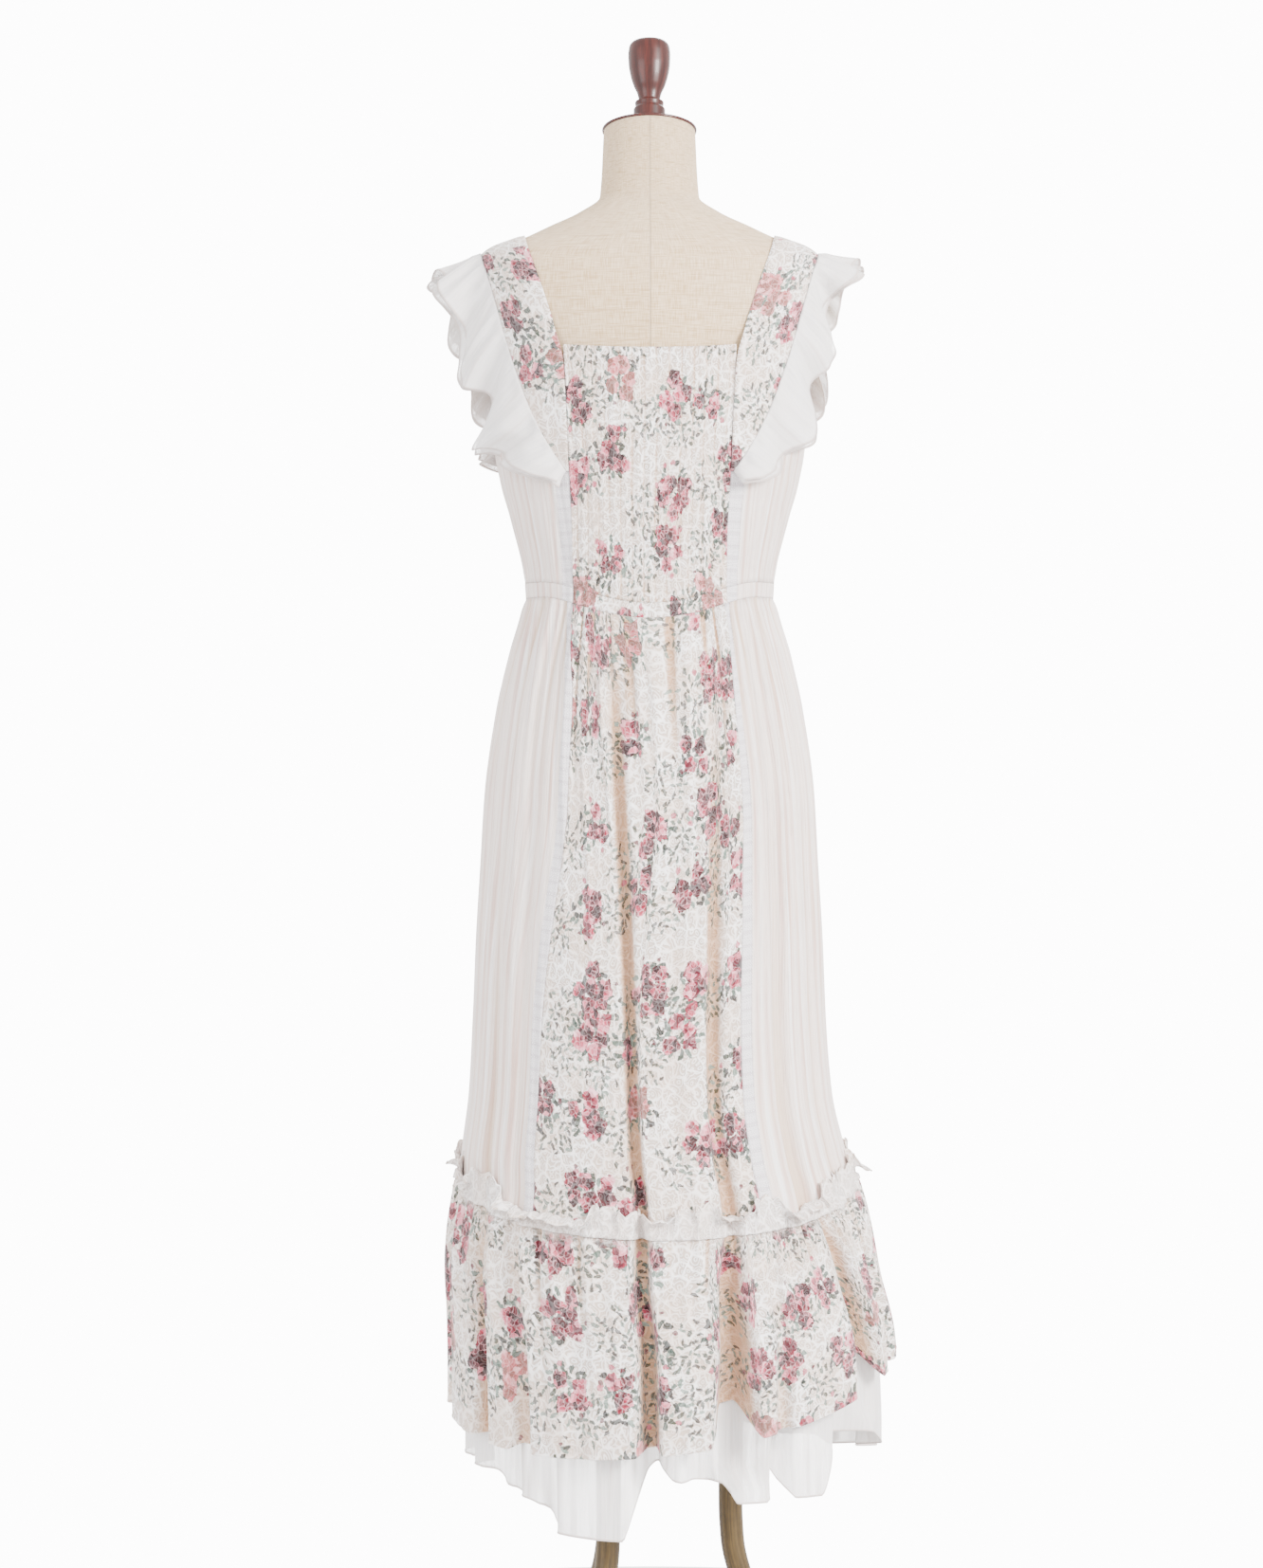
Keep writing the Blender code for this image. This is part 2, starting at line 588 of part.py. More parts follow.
def columns_between(left, right, keys, widest, nearest=0.8):
    """Angles from left to right with the key angles that aren't too near each other, and no step too wide."""
    inside = sorted(k for k in keys if left + 1.0 < k < right - 1.0)
    kept = [left]
    for k in inside:
        if k - kept[-1] > nearest:
            kept.append(k)
    kept.append(right)
    angles = []
    for a, b in zip(kept, kept[1:]):
        steps = max(1, math.ceil((b - a) / widest - 1e-6))
        angles += [a + (b - a) * i / steps for i in range(steps)]
    return np.array(angles + [right])


def fold_keys(table, columns, spots):
    """Angles over two turns at each trough's middle and at shares of its half-width."""
    keys = []
    for row in table:
        r = dict(zip(columns, row))
        half = max(r["half_top"], r["half_end"])
        keys += [float(turned(r["end"] + half * s)) for s in spots]
    return sorted(keys) + [k + 360.0 for k in sorted(keys)]


def half_seam(z):
    """Half of a seam's gap as an angle at a height."""
    middle, half, back, front = dress_section(z)
    return np.degrees(SEAM_GAP / 2 / np.minimum(half, np.minimum(back, front)))


def grid_between(left, right, inner_angles, rows):
    """Angles for each row: the panel's own edges, and the fold's angles kept where they are between."""
    grid = []
    for low, high in zip(left, right):
        span = (inner_angles - inner_angles[0]) / (inner_angles[-1] - inner_angles[0])
        grid.append(low + (high - low) * span)
    return np.array(grid).reshape(rows, -1)


def cloth_angle(table, columns, at, share):
    """The cloth's own angle that lies at an angle round the body."""
    own = np.arange(-400.0, 761.0, 0.5)
    turn, _, _ = folds_of(table, columns, own, np.full_like(own, share))
    return float(np.interp(at, own + turn, own))


def skirt_edges(share):
    """Left and right edge of the back and front centre panels, as the cloth's own angles."""
    shares = column(SKIRT_BACK_EDGES, SKIRT_EDGE_COLUMNS, "share_down")
    left = curve_through(share, shares, column(SKIRT_BACK_EDGES, SKIRT_EDGE_COLUMNS, "left")).item()
    right = curve_through(share, shares, column(SKIRT_BACK_EDGES, SKIRT_EDGE_COLUMNS, "right")).item()
    spots = (left, right, 180.0 - right, 180.0 - left)
    return [cloth_angle(SKIRT_FOLDS, SKIRT_FOLD_COLUMNS, s, share) for s in spots]


SKIRT_ROWS = 5
FLOUNCE_SHARES = (0.0, 0.32, 0.66, 1.0)
UNDER_SHARES = (0.0, 0.28, 0.54, 0.78, 1.0)


def skirt_panels():
    """Back and front centre panels, and the side panels with their seams at the sides."""
    shares = np.linspace(0.0, 1.0, SKIRT_ROWS + 1) ** 1.1
    top_gap = SEAM_GAP / 2 / (WAIST_Z - TIER_Z)
    shares[0], shares[-1] = top_gap, 1 - top_gap
    half_gap = half_seam(WAIST_Z + (TIER_Z - WAIST_Z) * shares)
    edges = np.array([skirt_edges(s) for s in shares])
    sides = np.array([
        [cloth_angle(SKIRT_FOLDS, SKIRT_FOLD_COLUMNS, side, share) for side in (-90.0, 90.0)]
        for share in shares
    ])
    spans = {
        "skirt_back_centre": (edges[:, 0], edges[:, 1], "floral_lace"),
        "skirt_back_side_right": (edges[:, 1], sides[:, 1], "striped_voile"),
        "skirt_front_side_right": (sides[:, 1], edges[:, 2], "striped_voile"),
        "skirt_front_centre": (edges[:, 2], edges[:, 3], "floral_lace"),
        "skirt_front_side_left": (edges[:, 3], sides[:, 0] + 360.0, "striped_voile"),
        "skirt_back_side_left": (sides[:, 0], edges[:, 0], "striped_voile"),
    }
    keys = fold_keys(SKIRT_FOLDS, SKIRT_FOLD_COLUMNS, (-1.0, -0.5, 0.0, 0.5, 1.0))
    outsides = []
    for name, (left, right, finish) in spans.items():
        angles = columns_between(left[-1], right[-1], keys, 6.5)
        grid = grid_between(left + half_gap, right - half_gap, angles, SKIRT_ROWS + 1)
        grid_shares = np.repeat(shares[:, None], grid.shape[1], axis=1)
        outer, inner = cloth_grids(skirt_point, grid, grid_shares, CLOTH)
        wall(name, outer, inner, finish)
        outsides.append(outer)
    return Reach(outsides, 1.0, spread=1, fineness=3)


def flounce_pieces():
    """The gathered bottom tier, in a back and a front length, sewn at the sides."""
    shares = np.array(FLOUNCE_SHARES)
    shares[0] = SEAM_GAP / 2 / (TIER_Z - HEM_Z)
    keys = fold_keys(FLOUNCE_FOLDS, FLOUNCE_FOLD_COLUMNS, (-1.0, -0.45, 0.0, 0.45, 1.0))
    insides = []
    half_gap = half_seam(TIER_Z + (HEM_Z - TIER_Z) * shares)
    for name, left, right in (("flounce_back", -90.0, 90.0), ("flounce_front", 90.0, 270.0)):
        angles = columns_between(left, right, keys, 360.0 / FLOUNCE_GATHERS / 4)
        grid = grid_between(left + half_gap, right - half_gap, angles, len(shares))
        grid_shares = np.repeat(shares[:, None], grid.shape[1], axis=1)
        outer, inner = cloth_grids(flounce_point, grid, grid_shares, CLOTH)
        wall(name, outer, inner, "floral_lace")
        insides.append(inner)
    return Reach(insides, -1.0, spread=5, below=15)


def heading_grids(angles, skirt):
    """The flounce's heading outside the skirt, along its folds, in ruffle waves above the tier seam."""
    outer, inner = [], []
    for share_up in (0.0, 1.0):
        z = tier_z(angles) + 0.0012 + share_up * HEADING_HEIGHT
        radius = dress_section(z)[1]
        rise = (skirt.at(angles + 0.6, z) - skirt.at(angles - 0.6, z)) / (np.radians(1.2) * radius)
        lean = np.minimum(np.hypot(1, rise), MOST_LEAN)
        wave = 0.5 + 0.5 * np.cos(np.radians(HEADING_WAVES * angles) + 0.5 * np.sin(np.radians(5 * angles)))
        stand = skirt.at(angles, z) + (LAYER_GAP + CLOTH) * lean + HEADING_FLARE * share_up * wave
        outer.append(off_section(angles, z, stand))
        inner.append(off_section(angles, z, stand - CLOTH * lean))
    return np.array(outer), np.array(inner)


def heading_ruffles(skirt):
    keys = fold_keys(SKIRT_FOLDS, SKIRT_FOLD_COLUMNS, (-1.0, -0.5, 0.0, 0.5, 1.0))
    half_gap = half_seam(TIER_Z)
    for name, left, right in (("heading_ruffle_back", -90.0, 90.0), ("heading_ruffle_front", 90.0, 270.0)):
        angles = columns_between(left + half_gap, right - half_gap, keys, 360.0 / HEADING_WAVES / 4)
        wall(name, *heading_grids(angles, skirt), "floral_lace")


def underskirt(flounce):
    """The chiffon underskirt that shows below the flounce, one tube."""
    hem_keys = [angle for angle, _ in UNDER_HEM_RISE if abs(angle) < 90]
    keys = sorted(fold_keys(UNDER_FOLDS, FLOUNCE_FOLD_COLUMNS, (-1.0, 0.0, 1.0)) + hem_keys)
    angles = columns_between(-180.0, 180.0, [k for k in keys if -180 <= k < 180], 5.0, nearest=1.6)[:-1]
    grid = np.tile(angles, (len(UNDER_SHARES), 1))
    grid_shares = np.repeat(np.array(UNDER_SHARES)[:, None], grid.shape[1], axis=1)

    def point(angle, share_down, off=0.0):
        return under_point(angle, share_down, flounce, off)

    outer, inner = cloth_grids(point, grid, grid_shares, CHIFFON)
    wall("underskirt", outer, inner, "chiffon", all_round=True)


def bodice_gather(angle, z):
    """Soft gathers in the side panels, strongest at the waist."""
    fade = np.clip(1 - (z - WAIST_Z) / 0.12, 0.15, 1)
    return BODICE_GATHER_HEIGHT * fade * np.cos(np.radians(WAIST_GATHERS * angle))


def casing_top(angle):
    return waist_z(angle) + CASING_HEIGHT


def centre_edge(z):
    """Half-width of the centre panels as an angle from the centre back."""
    heights, halves = zip(*CENTRE_HALF_WIDTHS)
    half = curve_through(z, heights, halves)
    return np.degrees(np.arcsin(half / dress_section(z)[1]))


def bodice_top(front):
    return FRONT_NECKLINE_Z if front else NECKLINE_Z


def seam_heights(front):
    """Heights of the rows along the seam between the centre and side panels, up to the neckline."""
    edge = centre_edge(WAIST_Z + CASING_HEIGHT).item()
    low = casing_top(180.0 - edge if front else edge).item() + SEAM_GAP
    return low + (bodice_top(front) - low) * np.arange(2 * BODICE_ROWS + 1) / (2 * BODICE_ROWS)


def armhole_z(from_middle, front):
    """Top edge of the side panels, which meets the centre panel's seam half way up."""
    meets = seam_heights(front)[BODICE_ROWS]
    knots, heights = zip((centre_edge(meets).item(), meets), *ARMHOLE_EDGE)
    return curve_through(from_middle, knots, heights)


def bodice_panel(name, front, side):
    """A side panel, from the centre panel's edge to the side seam, on the left or right, back or front."""
    outer, inner = [], []
    for row, height in enumerate(seam_heights(front)[: BODICE_ROWS + 1]):
        share = row / BODICE_ROWS
        gap = half_seam(height).item()
        from_middle = np.linspace(centre_edge(height).item() + gap, 90.0 - gap, 9)
        angle = (180.0 - from_middle if front else from_middle) * side
        low = casing_top(angle) + SEAM_GAP
        z = low + (armhole_z(from_middle, front) - low) * share
        z += (height - z[0]) * np.clip(1 - (from_middle - from_middle[0]) / 25.0, 0, 1)
        gather = bodice_gather(from_middle, z)
        outer.append(off_section(angle, z, gather))
        inner.append(off_section(angle, z, -CLOTH))
    return wall(name, np.array(outer), np.array(inner), "striped_voile")


def centre_panel(name, front, ribs=0):
    """A centre panel. The shirred back one has ribs on its outer face, over a plain inside."""
    across = np.linspace(-1.0, 1.0, (ribs or 5) * 2 + 1)
    heights = seam_heights(front)
    outer, inner = [], []
    for share, height in zip(np.linspace(0, 1, len(heights)), heights):
        edge = centre_edge(height).item() - half_seam(height).item()
        place = across * edge + (180.0 if front else 0.0)
        low = casing_top(place) + SEAM_GAP
        top = bodice_top(front) - 0.004 * (1 - across**2)
        z = low + (top - low) * share
        z += (height - z[0]) * across**2
        rib = SHIRR_HEIGHT * (0.5 + 0.5 * np.cos(np.pi * across * ribs)) if ribs else 0.0
        outer.append(off_section(place, z, rib))
        inner.append(off_section(place, z, -CLOTH))
    return wall(name, np.array(outer), np.array(inner), "floral_lace")


def bodice():
    centre_panel("bodice_back_centre", front=False, ribs=SHIRR_RIBS)
    centre_panel("bodice_front_centre", front=True)
    for side, word in ((-1, "left"), (1, "right")):
        bodice_panel(f"bodice_back_side_{word}", False, side)
        bodice_panel(f"bodice_front_side_{word}", True, side)


def waist_casing():
    """The elastic casing between bodice and skirt, in a back, a front and two side lengths."""
    edge = centre_edge(WAIST_Z).item()
    gap = half_seam(WAIST_Z).item()
    spans = {
        "waist_casing_back": (-edge, edge, "floral_lace", 12),
        "waist_casing_right": (edge, 180.0 - edge, "striped_voile", 20),
        "waist_casing_front": (180.0 - edge, 180.0 + edge, "floral_lace", 10),
        "waist_casing_left": (180.0 + edge, 360.0 - edge, "striped_voile", 20),
    }
    for name, (left, right, finish, count) in spans.items():
        angle = np.linspace(left + gap, right - gap, count + 1)
        low = waist_z(angle) + SEAM_GAP / 2
        high = casing_top(angle) - SEAM_GAP / 2
        outer = np.array([off_section(angle, z, CASING_SWELL) for z in (low, high)])
        inner = np.array([off_section(angle, z, -CLOTH) for z in (low, high)])
        wall(name, outer, inner, finish)


def worn_section(z):
    """What straps and frills lie on: the dress's section low down, the form's over the shoulder."""
    t = np.clip((z - 1.305) / 0.055, 0, 1)
    t = t * t * (3 - 2 * t)
    x, half, back, front = dress_section(z)
    y, form_half, form_back, form_front = form_section(z)
    half = half + (form_half - half) * t
    back = back + (form_back - back) * t
    front = front + (form_front - front) * t
    return y * t, half, back, front


def worn_distance(points):
    """(distance, outward direction) of points from what straps and frills lie on."""
    def share(p):
        middle, half, back, front = worn_section(p[..., 2])
        depth = np.where(p[..., 1] < middle, back, front)
        return np.hypot(p[..., 0] / half, (p[..., 1] - middle) / depth) - 1

    step = 5e-4
    rises = [(share(points + e) - share(points - e)) / (2 * step) for e in np.eye(3) * step]
    rise = np.stack(rises, axis=-1)
    length = np.linalg.norm(rise, axis=-1)
    return share(points) / length, rise / length[..., None]


def on_worn(x, z, front, limit=0.985):
    """Points behind or before the middle at an x and a height, on what straps and frills lie on."""
    middle, half, back, front_depth = worn_section(z)
    reach = np.clip(np.abs(x) / half, 0, limit)
    y = middle + np.where(front, front_depth, -back) * np.sqrt(1 - reach**2)
    return np.stack([x, y, z], axis=-1)


def shoulder_top(x):
    """Height of the form's shoulder line at a distance from the middle."""
    z = np.linspace(1.402, 1.46, 60)
    return np.interp(x, form_section(z)[1][::-1], z[::-1])


def along(rows, steps):
    """More rows between key rows, on smooth curves."""
    keys = np.arange(len(rows))
    fine = np.linspace(0, len(rows) - 1, steps + 1)
    shape = rows.reshape(len(rows), -1)
    smooth = np.stack([curve_through(fine, keys, shape[:, i]) for i in range(shape.shape[1])], axis=-1)
    return smooth.reshape(steps + 1, *rows.shape[1:])


def strap_face(side):
    """A strap's outer face: rows from the back's tip over the shoulder, columns from its inner edge."""
    across = np.array([0.0, 0.34, 0.68, 1.0])
    keys = []
    for z, inner, outer in STRAP_SIDE:
        x = (inner + (outer - inner) * across) * side
        keys.append(on_worn(x, np.full_like(x, z), False))
    top_x = STRAP_TOP[0] + (STRAP_TOP[1] - STRAP_TOP[0]) * across
    top_z = shoulder_top(top_x) + STRAP_LIFT
    keys.append(np.stack([top_x * side, np.full_like(top_x, SHOULDER_LINE_Y), top_z], axis=-1))
    for z, inner, outer in reversed(STRAP_SIDE):
        x = (inner + (outer - inner) * across) * side
        keys.append(on_worn(x, np.full_like(x, z), True))
    face = along(np.array(keys), STRAP_STEPS)
    from_top = np.abs(np.linspace(-1, 1, STRAP_STEPS + 1))[:, None]
    near_top = np.clip(1 - from_top / 0.5, 0, 1)
    lift = STRAP_LIFT + STRAP_TOP_LIFT * near_top
    face = off_worn(face, lift, -0.02)
    for _ in range(3):
        face[1:-1] = face[1:-1] / 2 + (face[:-2] + face[2:]) / 4
        face = off_worn(face, lift, 0.0)
    face[..., 2] += STRAP_TOP_RISE * near_top * across[None, :] ** 2
    return face, worn_distance(face)[1]


def off_worn(points, lift, furthest_in):
    """Points moved out to a distance from what straps and frills lie on, or in towards it."""
    for _ in range(8):
        distance, out = worn_distance(points)
        points = points + out * np.clip(lift - distance, furthest_in, 0.02)[..., None]
    return points


def grid_normals(grid, outward):
    """Normals of a grid of points, on the side of outward."""
    normal = np.cross(np.gradient(grid, axis=0), np.gradient(grid, axis=1))
    normal /= np.maximum(np.linalg.norm(normal, axis=-1, keepdims=True), 1e-9)
    facing = np.sum(normal * outward, axis=-1, keepdims=True)
    return normal * np.where(facing < 0, -1, 1)


def frill_grid(face, face_out, word, layer):
    """One frill's outer face: rows along the strap's outer edge, columns from its root to its free edge."""
    side = -1 if word == "left" else 1
    root = face[:, -1]
    edge_way = face[:, -1] - face[:, -2]
    edge_way /= np.linalg.norm(edge_way, axis=-1, keepdims=True)
    rows = np.array([*FRILL_REACH[word], *reversed(FRILL_REACH[word][:-1])])
    reach = along(rows[:, None, :], STRAP_STEPS)[:, 0]
    turns = 2 * np.pi * FRILL_FLUTES * np.linspace(0, 1, STRAP_STEPS + 1)
    reach = reach * (1 + FRILL_LOBES * np.sin(turns))[:, None]
    shares = np.array([0.0, 0.5, 1.0])
    front = root[:, 1] > 0.004
    steps = np.linspace(0, 1, STRAP_STEPS + 1)
    top = np.clip(1 - np.abs(steps * 2 - 1) / 0.30, 0, 1)
    columns = []
    for share in shares:
        x = root[:, 0] + side * reach[:, 0] * share
        z = root[:, 2] - reach[:, 1] * share
        near = on_worn(x, z, front, limit=0.97)
        near[:, 1] += (root[:, 1] - near[:, 1]) * np.clip(np.maximum(1 - share, top), 0, 1)
        columns.append(near)
    grid = np.stack(columns, axis=1)
    grid[:, 2] += (grid[:, 2] - grid[:, 1]) * 2 * layer * (UNDER_FRILL_LONGER - 1)
    lift = STRAP_LIFT + FRILL_LIFT + 0.009 * shares[None, :]
    grid = off_worn(grid, lift, 0.0)
    out = worn_distance(grid)[1]
    normal = grid_normals(grid, out)
    face_normal = grid_normals(face, face_out)[:, -1]
    flute = FRILL_FLUTE_HEIGHT * np.sin(turns)[:, None] * shares[None, :] ** 1.3
    drop = layer * UNDER_FRILL_DROP * (0.45 + 0.55 * shares[None, :])
    grid = grid + normal * (flute - drop)[..., None]
    grid[:, 0] = root + face_normal * (FRILL_LIFT - layer * (CHIFFON + LAYER_GAP)) - edge_way * FRILL_OVERLAP
    return grid, grid_normals(grid, out)


def straps_and_frills():
    for side, word in ((-1, "left"), (1, "right")):
        face, out = strap_face(side)
        wall(f"strap_{word}", face, face - grid_normals(face, out) * CLOTH, "floral_lace")
        for layer, name in enumerate(("frill_upper", "frill_under")):
            grid, normal = frill_grid(face, out, word, layer)
            wall(f"{name}_{word}", grid, grid - normal * CHIFFON, "chiffon")


def ring_points(z, tilt=0.0):
    """One ring of the form, tilted down towards the front by an angle."""
    middle, half, back, front = (v.item() for v in form_section(z))
    ring = []
    for i in range(FORM_ROUND):
        a = 2 * math.pi * i / FORM_ROUND
        depth = back if math.cos(a) > 0 else front
        y = -depth * math.cos(a)
        ring.append((half * math.sin(a), middle + y, z - y * math.tan(tilt)))
    return ring


def capped_rings(name, rings, finish):
    """A closed shape from a stack of rings with flat ends."""
    count = len(rings[0])
    points = [p for ring in rings for p in ring]
    faces = [tuple(reversed(range(count)))]
    for r in range(len(rings) - 1):
        for c in range(count):
            d = (c + 1) % count
            faces.append((r * count + c, r * count + d, (r + 1) * count + d, (r + 1) * count + c))
    top = (len(rings) - 1) * count
    faces.append(tuple(range(top, top + count)))
    return closed_mesh(name, points, faces, finish)


def dress_form():
    """The limbless form in linen: hip, waist, bust, shoulders and a neck cut at a slant."""
    heights = [row[0] for row in FORM_SECTIONS]
    rings = []
    for z in heights:
        leaning = np.clip((z - 1.43) / (NECK_TOP_Z - 1.43), 0, 1).item()
        rings.append(ring_points(z, NECK_TILT * leaning))
    capped_rings("form_body", rings, "linen")


def turned_piece(name, profile, sides, finish, matrix):
    """A turned wooden piece: its profile of radius and height spun round its own axis."""
    turns = [2 * math.pi * i / sides for i in range(sides)]
    rings = [[(r * math.cos(t), r * math.sin(t), h) for t in turns] for r, h in profile]
    obj = capped_rings(name, rings, finish)
    obj.data.transform(matrix)
    return obj


def neck_cap_and_knob():
    middle = form_section(NECK_TOP_Z)[0].item()
    lean = Matrix.Rotation(-NECK_TILT, 4, "X")
    top = Vector((0.0, middle, NECK_TOP_Z))
    up = lean @ Vector((0.0, 0.0, 1.0))
    cap_profile = (
        (CAP_RADIUS - 0.0012, 0.0), (CAP_RADIUS, 0.0010),
        (CAP_RADIUS, CAP_THICKNESS - 0.001), (CAP_RADIUS - 0.0015, CAP_THICKNESS),
    )
    low_seat = Matrix.Translation(top + up * SEAM_GAP) @ lean
    turned_piece("form_neck_cap", cap_profile, FORM_ROUND, "dark_wood", low_seat)
    high_seat = Matrix.Translation(top + up * (SEAM_GAP * 2 + CAP_THICKNESS)) @ lean
    turned_piece("form_knob", KNOB_PROFILE, 14, "dark_wood", high_seat)


def stand():
    """A column under the form, a turned hub, and three legs that drop straight and then sweep out."""
    column_profile = ((COLUMN_RADIUS, HUB_Z + 0.0523), (COLUMN_RADIUS, FORM_BOTTOM_Z - SEAM_GAP))
    turned_piece("stand_column", column_profile, 16, "stand_wood", Matrix.Identity(4))
    turned_piece("stand_hub", HUB_PROFILE, 14, "stand_wood", Matrix.Translation((0, 0, HUB_Z)))
    pad_profile = ((FOOT_PAD_RADIUS, 0.0), (FOOT_PAD_RADIUS, FOOT_PAD_HEIGHT))
    for word, direction in LEG_DIRECTIONS.items():
        a = math.radians(direction)
        leg(f"stand_leg_{word}", a)
        spot = Vector((math.sin(a), -math.cos(a), 0)) * FOOT_RING_RADIUS
        turned_piece(f"stand_foot_{word}", pad_profile, 12, "stand_wood", Matrix.Translation(spot))


def leg(name, direction):
    """A round leg: rings along its centreline, which lies in an upright plane."""
    out = np.array([math.sin(direction), -math.cos(direction), 0.0])
    sideways = np.array([math.cos(direction), math.sin(direction), 0.0])
    path = np.array([out * reach + np.array([0.0, 0.0, height]) for reach, height, _ in LEG_PATH])
    ahead = np.gradient(path, axis=0)
    ahead[0] = out
    ahead /= np.linalg.norm(ahead, axis=-1, keepdims=True)
    rings = []
    for middle, way, (_, _, radius) in zip(path, ahead, LEG_PATH):
        upwards = np.cross(sideways, way)
        turns = [2 * math.pi * i / LEG_SIDES for i in range(LEG_SIDES)]
        rings.append([middle + radius * (sideways * math.cos(t) + upwards * math.sin(t)) for t in turns])
    capped_rings(name, rings, "stand_wood")


def stand_over_origin():
    """Moves everything sideways so that the footprint's box has its middle at the origin."""
    bpy.context.view_layer.update()
    graph = bpy.context.evaluated_depsgraph_get()
    corners = []
    for obj in bpy.context.scene.objects:
        shown = obj.evaluated_get(graph)
        corners += [shown.matrix_world @ Vector(c) for c in shown.bound_box]
    low = Vector(map(min, zip(*corners)))
    high = Vector(map(max, zip(*corners)))
    middle = (low + high) / 2
    for obj in bpy.context.scene.objects:
        obj.location.x -= middle.x
        obj.location.y -= middle.y
    print(f"the form's axis is at x {-middle.x:.4f}, y {-middle.y:.4f}")


def build():
    for obj in list(bpy.data.objects):
        bpy.data.objects.remove(obj)
    dress_form()
    neck_cap_and_knob()
    stand()
    bodice()
    waist_casing()
    heading_ruffles(skirt_panels())
    underskirt(flounce_pieces())
    straps_and_frills()
    stand_over_origin()


build()
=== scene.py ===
"""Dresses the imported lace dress, its form and its stand: fine cloth shells, sewing and materials."""

import math

import bpy
import numpy as np
from mathutils import Matrix, Vector


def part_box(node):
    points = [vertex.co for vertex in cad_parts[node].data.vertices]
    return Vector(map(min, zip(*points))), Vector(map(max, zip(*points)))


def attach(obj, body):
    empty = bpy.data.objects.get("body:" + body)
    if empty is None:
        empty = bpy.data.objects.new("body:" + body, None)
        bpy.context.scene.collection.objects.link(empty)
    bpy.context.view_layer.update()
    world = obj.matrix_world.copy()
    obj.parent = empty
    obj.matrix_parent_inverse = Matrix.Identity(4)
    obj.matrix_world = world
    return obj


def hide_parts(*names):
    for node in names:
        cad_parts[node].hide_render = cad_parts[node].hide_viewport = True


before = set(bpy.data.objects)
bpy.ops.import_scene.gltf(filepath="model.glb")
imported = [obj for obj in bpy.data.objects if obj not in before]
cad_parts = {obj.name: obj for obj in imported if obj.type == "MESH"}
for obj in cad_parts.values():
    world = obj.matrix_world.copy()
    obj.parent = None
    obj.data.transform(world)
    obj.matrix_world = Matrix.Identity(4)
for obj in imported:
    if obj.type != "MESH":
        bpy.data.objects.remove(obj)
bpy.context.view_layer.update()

# The same driving dimensions as the part's own source
SEAM_GAP = 0.0002         # between pieces that are sewn together: the fine shells meet closer than the solids
LAYER_GAP = 0.0006        # between cloths that lie on each other

WAIST_Z = 1.0665          # seam under the waist casing, at the sides
WAIST_DROP = 0.022        # how much lower that seam is at the centre back
CASING_HEIGHT = 0.015
TIER_Z = 0.490            # seam between skirt and flounce, at the sides
TIER_DROP = 0.045
HEADING_HEIGHT = 0.027    # the gathered flounce stands this far above its seam
HEM_Z = 0.2925            # flounce's hem at the sides
HEM_DROP = 0.0525
HEM_TILT = 0.0275         # the hem is higher on the right than on the left
UNDER_HEM_Z = 0.153       # underskirt's hem where it is lowest
UNDER_TOP_BELOW_TIER = 0.012

SHIRR_RIBS = 14
SHIRR_HEIGHT = 0.0011
WAIST_GATHERS = 22
WAIST_GATHER_HEIGHT = 0.0022
BODICE_GATHER_HEIGHT = 0.0013
MOST_LEAN = 2.4           # the most that the heading's stand-off grows on a fold's slope
FLOUNCE_GATHERS = 36
FLOUNCE_GATHER_HEIGHT = 0.0022

NECKLINE_Z = 1.3135       # straight edge between the straps, centre back
FRONT_NECKLINE_Z = 1.300

STRAP_LIFT = 0.0024       # outer face of a strap above the bodice's level or the form
FRILL_FLUTES = 8
FRILL_FLUTE_HEIGHT = 0.0055
FRILL_LIFT = 0.0038       # how far a frill stands off the dress beyond the strap's own lift
FRILL_OVERLAP = 0.0015    # how far a frill's root lies over the strap's edge
FRILL_LOBES = 0.13        # how much further a frill reaches at the crest of each flute
UNDER_FRILL_DROP = 0.0055
UNDER_FRILL_LONGER = 1.14

NECK_TILT = math.radians(12.3)
NECK_TOP_Z = 1.538
CAP_THICKNESS = 0.0035

FORM_BOTTOM_Z = 0.735
SHOULDER_Z = 1.40
NECK_FOOT_Z = 1.43        # the neck starts to lean here
COLUMN_RADIUS = 0.014
HUB_Z = 0.352
FOOT_RING_RADIUS = 0.262
FOOT_PAD_HEIGHT = 0.006
FOOT_PAD_RADIUS = 0.017
LEG_DIRECTIONS = {"right": 90.0, "back": -30.0, "front": 210.0}

